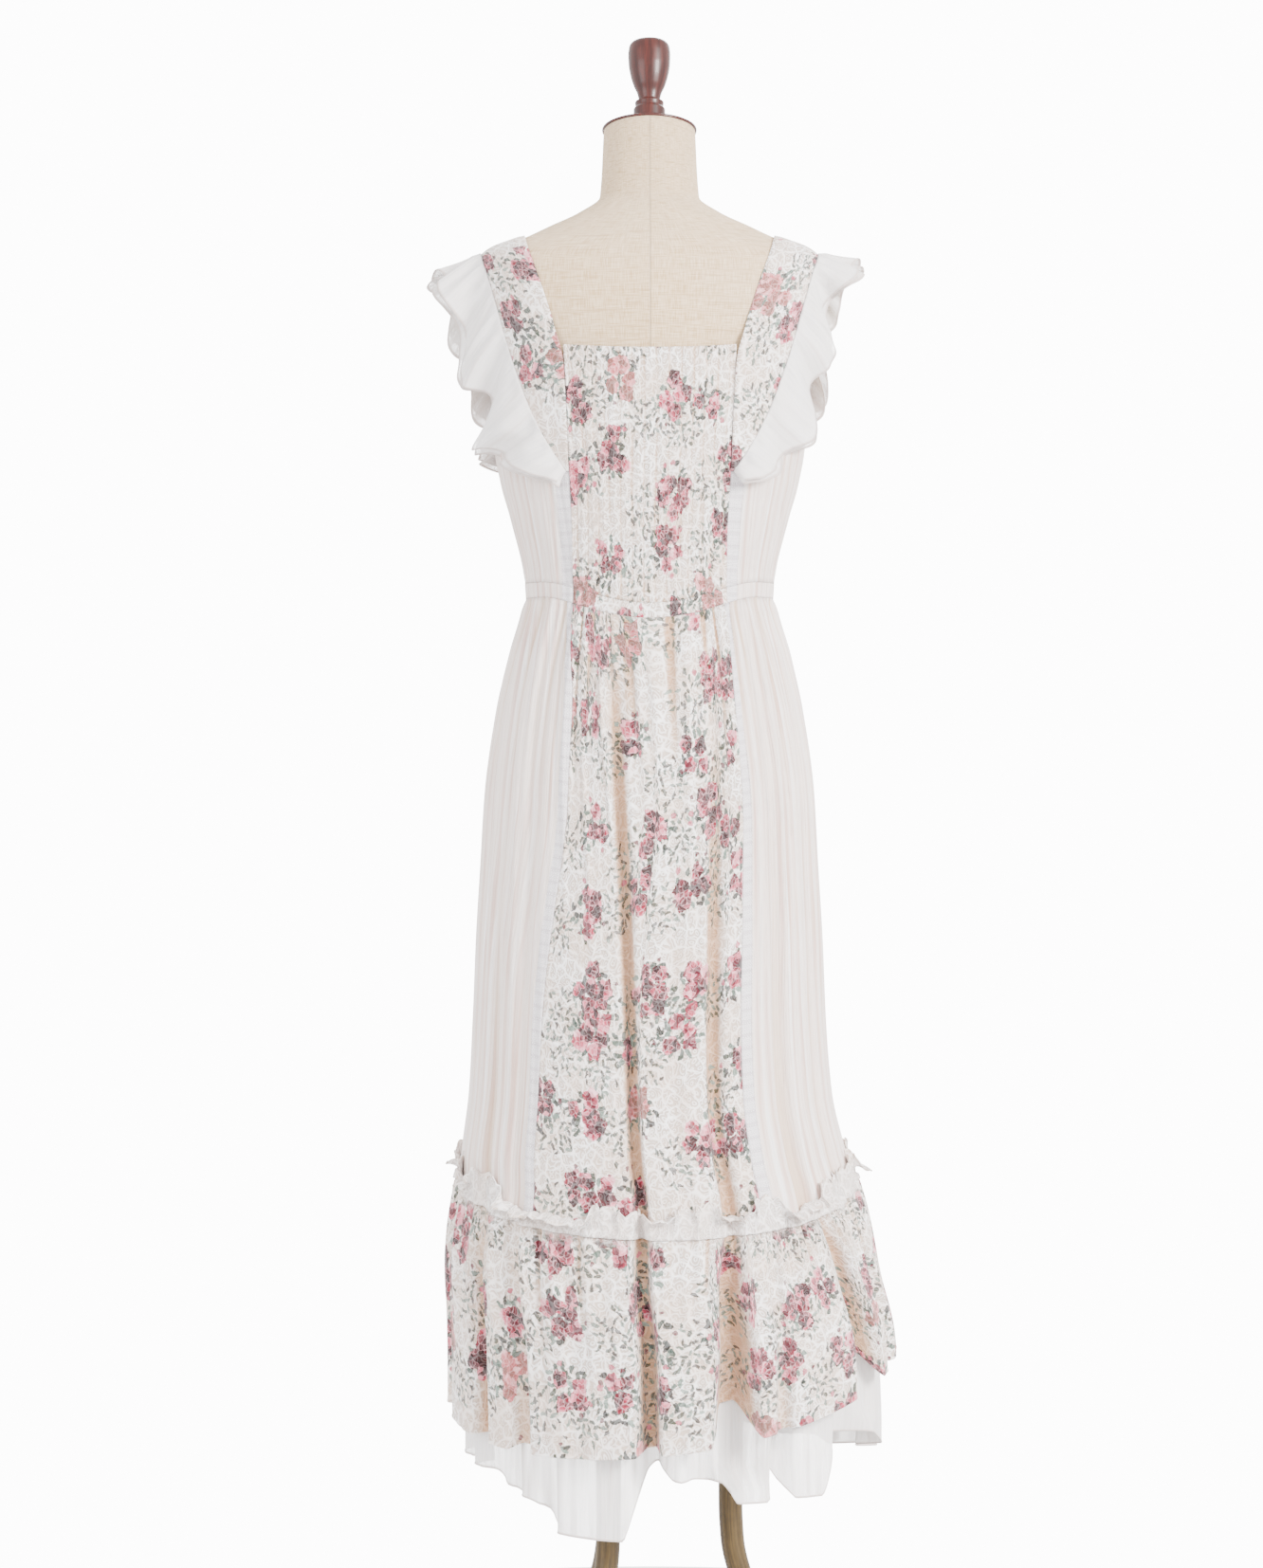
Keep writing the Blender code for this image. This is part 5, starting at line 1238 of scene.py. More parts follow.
def leaves(n, source, spacing, seed, reach, length, width):
    """Small dashes round the clusters, roughly pointing away from them: their colour and where they are."""
    leaf = n.cells(source, 1 / spacing, 0.95)
    spot = leaf.outputs["Position"]
    lot, way, hue = n.colour_parts(leaf.outputs["Color"])
    away, centre, _ = print_clusters(n, spot)
    chance = n.ranged(away, reach - 0.006, reach + 0.008, 0.98, 0.0, smooth=True)
    shown = n.below(n.math("FRACT", n.plus(lot, seed)), chance)
    outx, outy, _ = n.parts(n.vector_math("SUBTRACT", spot, centre))
    lean = n.plus(n.math("ARCTAN2", outy, outx), n.ranged(way, 0.0, 1.0, -1.1, 1.1))
    px, py, _ = n.parts(n.vector_math("SUBTRACT", source, spot))
    cosine, sine = n.math("COSINE", lean), n.math("SINE", lean)
    ahead = n.plus(n.times(px, cosine), n.times(py, sine))
    aside = n.minus(n.times(py, cosine), n.times(px, sine))
    bent = n.plus(aside, n.times(n.times(ahead, ahead), 45.0))
    stretch = n.ranged(hue, 0.0, 1.0, 0.65, 1.15)
    a = n.math("POWER", n.math("DIVIDE", ahead, n.times(stretch, length)), 2.0)
    b = n.math("POWER", n.math("DIVIDE", bent, width), 2.0)
    shape = n.below(n.plus(a, b), 1.0)
    green = n.ramp(way, (0.0, "16211A"), (0.22, "304238"), (0.45, "4E6257"),
                   (0.66, "25331F"), (0.80, "6C7F74"), (0.92, "100F0C"), constant=True)
    return green, n.times(shown, shape)


def floral_lace():
    """White lace printed with clusters of roses and small leaves. Where plain is 1 nothing is printed."""
    n = Nodes("floral_lace_cloth", 0.78, Sheen_Weight=0.25, Sheen_Roughness=0.5, Specular_IOR_Level=0.25)
    cloth = n.flat_cloth()
    jitter = n.vector_math("SUBTRACT", n.noise(cloth, 230.0, 2.0, colour=True), (0.5, 0.5, 0.5))
    drawn = n.vector_math("ADD", cloth, n.scaled(jitter, PRINT_JITTER))
    shifted = n.vector_math("ADD", drawn, (0.0371, 0.0213, 0.0))
    printed = n.minus(1.0, n.mark("plain"))

    relief, cords = lace_relief(n, cloth)
    ground = n.mix(relief, "CBB9AD", "FCFAF9")
    soft = n.ranged(n.noise(cloth, 24.0, 2.0), 0.36, 0.64)
    ground = n.mix(n.times(soft, 0.62), ground, "DEC5B2")
    # Painted shade: warm brown in the hollows of the folds, following the deep mark
    ground = n.mix(n.ranged(n.mark("deep"), 0.16, 0.80, 0.0, 0.94, smooth=True), ground, "BE9470")
    colour = ground
    layers = (
        (leaves(n, shifted, TWIG_SPACING, *TWIGS), TWIG_INK),
        (leaves(n, drawn, LEAF_SPACING, *LEAVES), LEAF_INK),
        (small_roses(n, drawn), BUD_INK),
        (roses(n, drawn), ROSE_INK),
    )
    for (tone, mask), strength in layers:
        colour = n.mix(n.times(mask, printed, strength), colour, tone)
    worn_in = n.times(n.ranged(relief, 0.5, 1.0), 0.08)
    colour = n.mix(worn_in, colour, "FBFAFB")
    border = n.ranged(n.mark("edge"), 0.35, 0.95, 0.0, 0.5)
    colour = n.mix(n.times(border, n.mark("plain")), colour, "E9E3E1")
    normal = n.bump(relief, 0.0009, 1.0)
    fine = n.bump(n.noise(cloth, 1500.0, 1.0), 0.00012, 0.5, after=normal)
    return n.finish(colour, n.ranged(cords, 0.0, 1.0, 0.82, 0.66), fine)


def striped_voile():
    """Thin crinkled voile with fine lengthwise stripes, and a lace stripe by the centre panels."""
    n = Nodes("striped_voile_cloth", 0.72, Sheen_Weight=0.3, Sheen_Roughness=0.45, Specular_IOR_Level=0.3)
    cloth = n.flat_cloth()
    u, v, _ = n.parts(cloth)

    def lane_mask(lane, rise_from, rise_to, fall_from, fall_to):
        up = n.ranged(lane, rise_from, rise_to, smooth=True)
        return n.times(up, n.ranged(lane, fall_from, fall_to, 1.0, 0.0, smooth=True))

    drift = n.times(n.minus(n.streaks(46.0, 4.0), 0.5), 0.014)
    at = n.plus(u, drift)
    wide = lane_mask(n.math("FRACT", n.math("DIVIDE", at, 0.0165)), 0.25, 0.40, 0.60, 0.78)
    pale = lane_mask(n.math("FRACT", n.math("DIVIDE", at, 0.0262)), 0.55, 0.60, 0.70, 0.75)
    thin = n.below(n.math("FRACT", n.math("DIVIDE", at, 0.00415)), 0.30)
    uneven = n.ranged(n.streaks(70.0, 5.0, 3.0), 0.36, 0.64, 0.15, 1.0)
    blush = n.ranged(n.noise(cloth, 11.0, 2.0), 0.35, 0.65)
    tinted = n.mix(blush, "D8BBAC", "D6B4AC")
    colour = n.mix(n.times(wide, uneven), "F2E6DF", tinted)
    colour = n.mix(n.times(n.times(thin, uneven), 0.40), colour, "C4A292")
    colour = n.mix(n.times(pale, n.times(uneven, 0.9)), colour, "FCFAFA")
    yarn = n.streaks(900.0, 60.0, 3.0)
    colour = n.mix(n.ranged(yarn, 0.35, 0.75, 0.0, 0.30), colour, "CDBDB6")
    # Painted shade: warm brown in the hollows of the folds, following the deep mark
    colour = n.mix(n.ranged(n.mark("deep"), 0.15, 1.0, 0.0, 0.75, smooth=True), colour, "C9A98A")
    band = n.ranged(n.mark("seam_distance"), 0.0115, 0.0135, 1.0, 0.0)
    knots = n.cells(cloth, 300.0, 0.25).outputs["Distance"]
    raised = n.ranged(knots, 0.18, 0.34, 1.0, 0.0, smooth=True)
    waves = n.math("ABSOLUTE", n.math("SINE", n.times(v, 2 * math.pi / 0.024)))
    scroll = n.times(n.ranged(waves, 0.35, 0.6), 0.4)
    band_colour = n.mix(n.math("MAXIMUM", raised, scroll), "CFC7CC", "FCFAFC")
    colour = n.mix(band, colour, band_colour)
    wrinkle = n.streaks(300.0, 14.0, 3.0, 0.6)
    free = n.minus(1.0, band)
    height = n.plus(n.times(wrinkle, free), n.times(raised, band, 0.5))
    normal = n.bump(height, 0.0030, 0.85)
    weave = n.bump(n.weave(0.0008), 0.00012, 0.35, after=normal)
    return n.finish(colour, n.ranged(wrinkle, 0.3, 0.7, 0.66, 0.80), weave)


def chiffon():
    """Sheer plain white chiffon: denser at its rolled hems."""
    n = Nodes("chiffon_cloth", 0.62, Sheen_Weight=0.35, Sheen_Roughness=0.4, Specular_IOR_Level=0.3)
    cloth = n.flat_cloth()
    weave = n.weave(0.0007)
    cloud = n.noise(cloth, 18.0, 3.0)
    fold = n.streaks(120.0, 5.0, 3.0, 0.55)
    colour = n.mix(n.ranged(cloud, 0.3, 0.7), "FCFAFA", "F8F3F0")
    # Painted shade: darker lengthwise streaks where the soft folds lie; the same streaks also bump the cloth
    # and change its sheerness
    colour = n.mix(n.ranged(fold, 0.52, 0.72, 0.0, 0.55, smooth=True), colour, "DCD0CC")
    hem = n.ranged(n.mark("edge"), 0.75, 1.0, 1.0, 0.0)
    colour = n.mix(hem, colour, "CFC3BE")
    clear = n.ranged(weave, -1.0, 1.0, 0.70, 0.80)
    clear = n.plus(clear, n.times(n.minus(cloud, 0.5), 0.16))
    clear = n.plus(clear, n.ranged(fold, 0.40, 0.62, -0.10, 0.08))
    alpha = n.plus(clear, n.times(hem, 0.3), clamp=True)
    crepe = n.bump(fold, 0.0030, 0.8, after=n.bump(n.noise(cloth, 900.0, 2.0), 0.0002, 0.5))
    rough = n.ranged(cloud, 0.3, 0.7, 0.58, 0.68)
    return n.finish(colour, rough, n.bump(weave, 0.0001, 0.3, after=crepe), alpha)


def linen():
    """Natural linen with slubs, and a seam down the centre of the back."""
    n = Nodes("linen_cover", 0.86, Sheen_Weight=0.2, Sheen_Roughness=0.6, Specular_IOR_Level=0.2)
    cloth = n.flat_cloth()
    weft = n.streaks(70.0, 1500.0, 3.0)
    warp = n.streaks(1500.0, 70.0, 3.0)
    yarns = n.times(n.plus(weft, warp), 0.5)
    slub = n.ranged(n.streaks(24.0, 420.0), 0.54, 0.70)
    colour = n.mix(n.ranged(yarns, 0.40, 0.60), "B9996C", "E6CEAC")
    colour = n.mix(n.times(slub, 0.60), colour, "AC8D62")
    cloud = n.ranged(n.noise(cloth, 9.0, 2.0), 0.3, 0.7)
    colour = n.mix(n.times(cloud, 0.2), colour, "D2C2AC")
    weave = n.bump(n.plus(n.weave(0.0011), yarns), 0.00022, 0.6)
    px, py, _ = n.parts(n.object_place())
    from_seam = n.math("ABSOLUTE", n.minus(px, float(AXIS[0])))
    behind = n.below(py, 0.0)
    groove = n.times(behind, n.ranged(from_seam, 0.0003, 0.0013, 1.0, 0.0, smooth=True))
    colour = n.mix(n.times(groove, 0.30), colour, "B5A48E")
    seam = n.bump(n.minus(1.0, groove), 0.0009, 1.0, after=weave)
    return n.finish(colour, n.ranged(yarns, 0.3, 0.7, 0.80, 0.92), seam)


def dark_wood():
    """Varnished red-brown wood of the knob and the neck's cap."""
    n = Nodes("dark_turned_wood", 0.38, Coat_Weight=0.14, Coat_Roughness=0.14, Specular_IOR_Level=0.35)
    grain = n.streaks(240.0, 26.0, 4.0, 0.6)
    colour = n.ramp(grain, (0.25, "1C0502"), (0.5, "3A0E06"), (0.75, "561B0F"))
    figure = n.ranged(n.noise(n.flat_cloth(), 60.0, 2.0), 0.35, 0.7)
    colour = n.mix(n.times(figure, 0.4), colour, "260703")
    return n.finish(colour, n.ranged(grain, 0.3, 0.7, 0.30, 0.44), n.bump(grain, 0.0002, 0.4))


def stand_wood():
    """Satin olive-brown wood of the stand."""
    n = Nodes("stand_satin_wood", 0.5, Coat_Weight=0.06, Coat_Roughness=0.3, Specular_IOR_Level=0.3)
    grain = n.streaks(420.0, 16.0, 4.0, 0.6)
    colour = n.ramp(grain, (0.25, "2A1E09"), (0.5, "453518"), (0.78, "5F4B26"))
    worn = n.ranged(n.noise(n.flat_cloth(), 34.0, 3.0), 0.4, 0.75)
    colour = n.mix(n.times(worn, 0.35), colour, "2C2312")
    return n.finish(colour, n.ranged(grain, 0.3, 0.7, 0.34, 0.5), n.bump(grain, 0.0002, 0.4))


def stage_paint():
    """The pale floor's paint."""
    n = Nodes("pale_floor", 0.9)
    spots = n.noise(n.object_place(), 3.0, 2.0)
    return n.finish(n.mix(n.ranged(spots, 0.2, 0.8), "F7F7F7", "F9F9F9"))


MATERIALS = {
    "floral_lace": floral_lace(),
    "striped_voile": striped_voile(),
    "chiffon": chiffon(),
    "linen": linen(),
    "dark_wood": dark_wood(),
    "stand_wood": stand_wood(),
}


# The dress
BODICE_FULLNESS = 1.45    # flat width of the shirred back over its worn width
VOILE_FULLNESS = 1.5      # the same for the voile sides
FLAT_RADIUS = 0.170       # radius that turns an angle on the skirt into a width
NECKLINE_DIP = 0.004      # how much lower the neckline is in the middle
SHIRR_ROW_SPACING = 0.0085
BODICE_HOLD = 0.008       # the bodice's gathers come free of the waist's pucker over this height

# Where the pieces' flat coordinates are, so that each shows its own part of the print
SKIRT_FLAT_STEP = 3.1
TIER_FLAT_STEP = 11.3
TIER_FLAT_DOWN = 0.7
BACK_FLAT_PLACE = 5.4
SIDE_FLAT_PLACE = 4.0

# Rows and columns of the fine grids
SKIRT_ROWS = 112
SKIRT_COLUMN_STEP = 0.60  # degrees
FLOUNCE_ROWS = 42
FLOUNCE_COLUMNS = 440
HEADING_ROWS = 17
HEADING_COLUMNS = 640
UNDERSKIRT_ROWS = 42
UNDERSKIRT_COLUMNS = 460
FRILL_ROWS = 280
FRILL_COLUMNS = 24
STRAP_ROWS = 140
STRAP_COLUMNS = 16
FORM_ROWS = (90, 44)      # below and above the shoulder
FORM_COLUMNS_ROUND = 112

# The flounce's heading: flutes and scallops all round, and how far it falls and flops over where it does
HEADING_FLUTES = 50
HEADING_FLUTE_HEIGHT = 0.0058
HEADING_SCALLOPS = 76
HEADING_SCALLOP = 0.21    # a scallop's height as a share of the heading's
HEADING_LAP = 0.0018      # its foot is this far below the tier seam
HEADING_FALL = 0.72
HEADING_FLOP = 0.0130

# The frills: how much further their free edge stands off, and their fine waves and gathers along the strap
FRILL_SPREAD = 0.009
FRILL_FINE_WAVES = 23
FRILL_FINE_HEIGHT = 0.0020
FRILL_GATHERS = 62
FRILL_GATHER_HEIGHT = 0.0005

# Lengths of the tiers: word, and the angles of the side seams
HALVES = (("back", -90.0, 90.0), ("front", 90.0, 270.0))
SEAM_AT_RIGHT = ("skirt_back_side_left",)     # panels with the lace stripe at their right edge

# How far a strap's inner edge laps over the centre panel's edge, at these heights
STRAP_LAP_HEIGHTS = (1.190, 1.275, 1.300, 1.314, 1.330)
STRAP_LAPS = (0.0018, 0.0030, 0.0040, 0.0030, 0.0)


def skirt_shells():
    """Back and front centre panels, and the side panels with their seams at the sides."""
    length = WAIST_Z - TIER_Z
    shares = dense_to(SKIRT_ROWS)
    shares[0], shares[-1] = SEAM_GAP / 2 / length, 1 - SEAM_GAP / 2 / length
    half_gap = half_seam(WAIST_Z - length * shares)
    key_shares = np.linspace(0, 1, 24)
    key_edges = [
        [*skirt_edges(s), *(cloth_angle(SKIRT_FOLDS, SKIRT_FOLD_COLUMNS, side, s) for side in (-90.0, 90.0))]
        for s in key_shares
    ]
    columns = [np.interp(shares, key_shares, keys) for keys in np.array(key_edges).T]
    back_left, back_right, front_right, front_left, side_left, side_right = columns
    spans = {
        "skirt_back_centre": (back_left, back_right, "floral_lace"),
        "skirt_back_side_right": (back_right, side_right, "striped_voile"),
        "skirt_front_side_right": (side_right, front_right, "striped_voile"),
        "skirt_front_centre": (front_right, front_left, "floral_lace"),
        "skirt_front_side_left": (front_left, side_left + 360.0, "striped_voile"),
        "skirt_back_side_left": (side_left, back_left, "striped_voile"),
    }
    outsides = []
    for name, (left, right, cloth) in spans.items():
        count = int((right[-1] - left[-1]) / SKIRT_COLUMN_STEP)
        across, place_across = even_columns(fine_skirt, left[-1], right[-1], count)
        grid = between(left, right, half_gap, across)
        down = np.broadcast_to(shares[:, None], grid.shape)
        outer = fine_skirt(grid, down)
        outsides.append(outer)
        flat = flat_places(place_across + SKIRT_FLAT_STEP * len(outsides), -length * down * 1.02)
        # The deep mark carries the painted shade of the skirt's folds
        marks = {"deep": skirt_fold_shade(grid, down)}
        if cloth == "striped_voile":
            from_edge = right[:, None] - grid if name in SEAM_AT_RIGHT else grid - left[:, None]
            marks["seam_distance"] = from_edge * np.radians(1) * FLAT_RADIUS
        obj = shell(f"cloth_{name}", outer, SHELL, MATERIALS[cloth], flat, marks)
        place(obj, name, slot=cloth)
    return Reach(outsides, 1.0, spread=1, fineness=3)


def flounce_shells():
    """The gathered bottom tier, in a back and a front length."""
    length = TIER_Z - HEM_Z
    shares = dense_to(FLOUNCE_ROWS, hem=0.012)
    shares[0] = SEAM_GAP / 2 / length
    half_gap = half_seam(TIER_Z - length * shares)
    insides, outsides = [], []
    for number, (word, left, right) in enumerate(HALVES, 1):
        across, place_across = even_columns(fine_flounce, left, right, FLOUNCE_COLUMNS)
        grid = between(left, right, half_gap, across)
        down = np.broadcast_to(shares[:, None], grid.shape)
        outer = fine_flounce(grid, down, rolled_hem(length * (1 - down), 0.0026, 0.00055))
        insides.append(outer - outward_normals(outer) * SHELL)
        outsides.append(outer)
        flat = flat_places(place_across + TIER_FLAT_STEP * number, -length * down * 1.03 - TIER_FLAT_DOWN)
        # The deep mark carries the painted shade of the flounce's folds
        marks = {"deep": flounce_fold_shade(grid, down), "plain": np.clip(0.9 - down / 0.06, 0, 1)}
        obj = shell(f"cloth_flounce_{word}", outer, SHELL, MATERIALS["floral_lace"], flat, marks)
        place(obj, f"flounce_{word}", slot="floral_lace")
    return Reach(insides, -1.0, spread=4, below=15), Reach(outsides, 1.0, spread=1, fineness=3)


def heading_shells(skirt, flounce):
    """The flounce's heading: a ruffled lace edge that stands over the seam, flops over here and there and has
    small scallops. It follows the skirt's folds, and its foot lies on the flounce."""
    half_gap = half_seam(TIER_Z)
    for number, (word, left, right) in enumerate(HALVES, 1):
        angles = np.linspace(left + half_gap, right - half_gap, HEADING_COLUMNS)
        up, grid = np.meshgrid(np.linspace(1.0, 0.0, HEADING_ROWS), angles, indexing="ij")
        uneven = wobble(grid, 41, (4, 7, 12, 19))
        phase = np.radians(HEADING_FLUTES * grid) + 2.6 * uneven
        inset = np.clip(np.minimum(grid - left, right - grid) / 3.0, 0, 1)
        at = grid + 1.2 * up**1.3 * np.cos(phase + 0.6) * inset
        fallen = eased(wobble(grid, 47, (5, 9, 16)) + 0.45, 1.1)
        scallop = HEADING_SCALLOP * np.abs(np.sin(np.radians(HEADING_SCALLOPS * grid) + 1.5 * uneven))
        tall = np.clip(1.00 + 0.20 * wobble(grid, 43, (5, 9, 14, 22)) + scallop, 0.7, 1.35)
        over = np.clip((up - 0.42) / 0.58, 0, 1)
        z = tier_z(at) - HEADING_LAP + tall * HEADING_HEIGHT * (up - HEADING_FALL * fallen * over**1.5)
        slope = (skirt.at(at + 0.6, z) - skirt.at(at - 0.6, z)) / (np.radians(1.2) * dress_section(z)[1])
        lean = np.minimum(np.hypot(1, slope), MOST_LEAN)
        flute = HEADING_FLUTE_HEIGHT * up**1.1 * (0.5 + 0.5 * np.sin(phase))
        flute = flute + 0.0008 * gathers(grid, *FLOUNCE_SET) * (1 - up)
        flop = HEADING_FLOP * fallen * over**1.1
        curl = 0.0016 * over**2 * np.sin(2.0 * phase + 1.0)
        stand = skirt.at(at, z) + (LAYER_GAP + SHELL) * lean + np.maximum(flute + flop + curl, -0.0003)
        stand = np.maximum(stand, flounce.at(at, z) + 0.0004 + SHELL + 0.003 * up)
        flat_across = np.radians(grid - (left + right) / 2) * 0.32 + TIER_FLAT_STEP * number
        flat = flat_places(flat_across, HEADING_HEIGHT * up - TIER_FLAT_DOWN)
        marks = {"plain": np.clip(0.9 + up / 0.3, 0, 1), "edge": np.clip((1 - up) / 0.12, 0, 1)}
        obj = shell(f"cloth_heading_ruffle_{word}", off_section(at, z, stand), SHELL,
                    MATERIALS["floral_lace"], flat, marks)
        place(obj, f"heading_ruffle_{word}", slot="floral_lace")


def underskirt_shell(flounce):
    """The chiffon underskirt, one tube with a rolled hem."""
    length = TIER_Z - UNDER_HEM_Z
    shares = dense_to(UNDERSKIRT_ROWS, hem=0.010)
    grid = np.tile(np.linspace(-180.0, 180.0, UNDERSKIRT_COLUMNS + 1)[:-1], (len(shares), 1))
    down = np.broadcast_to(shares[:, None], grid.shape)
    drop = (length - 0.02) * (1 - down)
    small = 0.0007 * wobble(grid, 51, (14, 23, 31, 44)) * np.clip(down * 3 - 1, 0, 1)
    outer = under_point(grid, down, flounce, off=small)
    outer = outer + outward_normals(outer, True) * rolled_hem(drop, 0.0026, 0.0006)[..., None]
    wide = np.concatenate([grid, grid[:, :1] + 360], axis=1)
    flat = flat_places(np.radians(wide) * 0.24, -length * shares[:, None])
    marks = {"edge": np.clip(drop / 0.0028, 0, 1)}
    obj = shell("cloth_underskirt", outer, SHEER, MATERIALS["chiffon"], flat, marks, all_round=True)
    place(obj, "underskirt", slot="chiffon")


def bodice_shells():
    """The two centre panels and the four side panels of the bodice."""
    centre_shell("bodice_back_centre", False, 150)
    centre_shell("bodice_front_centre", True, 84)
    for side, word in ((-1, "left"), (1, "right")):
        side_shell(f"bodice_back_side_{word}", False, side)
        side_shell(f"bodice_front_side_{word}", True, side)


def centre_shell(name, front, count):
    """A centre panel: shirred behind, plain and softly gathered in front."""
    across = np.linspace(-1.0, 1.0, count + 1)
    low_edge, high_edge = seam_heights(front)[[0, -1]]
    grid, valley_shades = [], []
    for share in dense_to(70 if front else 86)[::-1]:
        height = low_edge + (high_edge - low_edge) * share
        edge = centre_edge(height).item() - half_seam(height).item()
        at = across * edge + (180.0 if front else 0.0)
        low = casing_top(at) + SEAM_GAP
        top = bodice_top(front) - NECKLINE_DIP * (1 - across**2)
        z = low + (top - low) * share
        z += (height - z[0]) * across**2
        rib_at = across * (1 + 0.010 * np.sin(9.0 * share + 3.0 * across))
        if front:
            rise = 0.0004 * np.cos(np.pi * rib_at * 21)
        else:
            rows_pull = 0.62 + 0.38 * np.abs(np.sin(np.pi * (high_edge - height) / SHIRR_ROW_SPACING))
            uneven = 0.30 * np.sin(across * 23 + 7 * share) + 0.22 * np.sin(across * 41 - 11 * share)
            narrow = 0.32 * np.cos(np.pi * rib_at * 43 + 2.0 * np.sin(6 * share))
            ribs = 0.55 + 0.42 * np.cos(np.pi * rib_at * SHIRR_RIBS) + 0.4 * uneven + narrow
            rise = np.clip(SHIRR_HEIGHT * rows_pull * ribs, -0.0002, 0.0023)
        free = eased(z - low, BODICE_HOLD)
        rise = rise * free + waist_pucker(at) * (1 - free)
        # Painted shade: the shirring's valleys get a darker cloth colour, less so on the plainer front
        valley_shades.append(np.clip(1 - (rise + 0.0003) / 0.0011, 0, 1) * (0.25 if front else 0.62))
        grid.append(off_section(at, z, rise + rolled_hem(top - z + 0.0002, 0.0030, 0.0005)))
    outer = np.array(grid)
    fullness = 1.25 if front else BODICE_FULLNESS
    flat = flat_places(across * 0.08 * fullness + (2.2 if front else BACK_FLAT_PLACE), outer[..., 2])
    obj = shell(f"cloth_{name}", outer, SHELL, MATERIALS["floral_lace"], flat, {"deep": np.array(valley_shades)})
    place(obj, name, slot="floral_lace")


def side_shell(name, front, side):
    """A side panel of crinkled voile, gathered towards the waist."""
    rows, seams = [], []
    low_edge, high_edge = seam_heights(front)[[0, BODICE_ROWS]]
    for share in dense_to(40, hem=0.014)[::-1]:
        height = low_edge + (high_edge - low_edge) * share
        gap = half_seam(height).item()
        from_middle = np.linspace(centre_edge(height).item() + gap, 90.0 - gap, 105)
        angle = (180.0 - from_middle if front else from_middle) * side
        low = casing_top(angle) + SEAM_GAP
        top = armhole_z(from_middle, front)
        z = low + (top - low) * share
        z += (height - z[0]) * np.clip(1 - (from_middle - from_middle[0]) / 25.0, 0, 1)
        fade = np.clip(1.1 - share, 0.25, 1)
        small = 0.0008 * fade * gathers(angle, *PUCKER_SET) + 0.0003 * gathers(angle, *CRINKLE_SET)
        free = eased(z - low, BODICE_HOLD)
        rise = (bodice_gather(from_middle, z) + small) * free + waist_pucker(angle) * (1 - free)
        rows.append(off_section(angle, z, rise + rolled_hem(top - z + 0.0002, 0.0030, 0.0004)))
        seams.append(np.radians(from_middle - from_middle[0]) * 0.14)
    outer, seam = np.array(rows), np.array(seams)
    flat = flat_places(seam * VOILE_FULLNESS + SIDE_FLAT_PLACE, outer[..., 2])
    if (side > 0) == front:
        outer, seam, flat = outer[:, ::-1], seam[:, ::-1], flat[:, ::-1]
    marks = {"seam_distance": seam * 0.8}
    obj = shell(f"cloth_{name}", outer, SHELL, MATERIALS["striped_voile"], flat, marks)
    place(obj, name, slot="striped_voile")


def casing_shells():
    """The waist casing in four lengths, puckered by its elastic."""
    edge = centre_edge(WAIST_Z).item()
    gap = half_seam(WAIST_Z).item()
    spans = {
        "waist_casing_back": (-edge, edge, "floral_lace", 150),
        "waist_casing_right": (edge, 180.0 - edge, "striped_voile", 230),
        "waist_casing_front": (180.0 - edge, 180.0 + edge, "floral_lace", 120),
        "waist_casing_left": (180.0 + edge, 360.0 - edge, "striped_voile", 230),
    }
    down = np.linspace(0, 1, 8)[:, None]
    for name, (left, right, cloth, count) in spans.items():
        angle = np.linspace(left + gap, right - gap, count + 1)[None, :]
        low = waist_z(angle) + SEAM_GAP / 2
        high = casing_top(angle) - SEAM_GAP / 2
        swell = 0.0003 * np.sin(np.pi * down)
        outer = off_section(angle, high + (low - high) * down, waist_pucker(angle) + swell)
        flat_across = np.radians(angle - (left + right) / 2) * 0.12
        if cloth == "floral_lace":
            flat_across = flat_across * BODICE_FULLNESS + BACK_FLAT_PLACE
            marks, width = {}, 0.200
        else:
            flat_across = flat_across * VOILE_FULLNESS + SIDE_FLAT_PLACE
            marks = {"seam_distance": np.minimum(angle - left, right - angle) * np.radians(1) * 0.11}
            width = 0.250
        flat = flat_places(flat_across, outer[..., 2])
        obj = shell(f"cloth_{name}", outer, SHELL, MATERIALS[cloth], flat, marks)
        place(obj, name, slot=cloth)


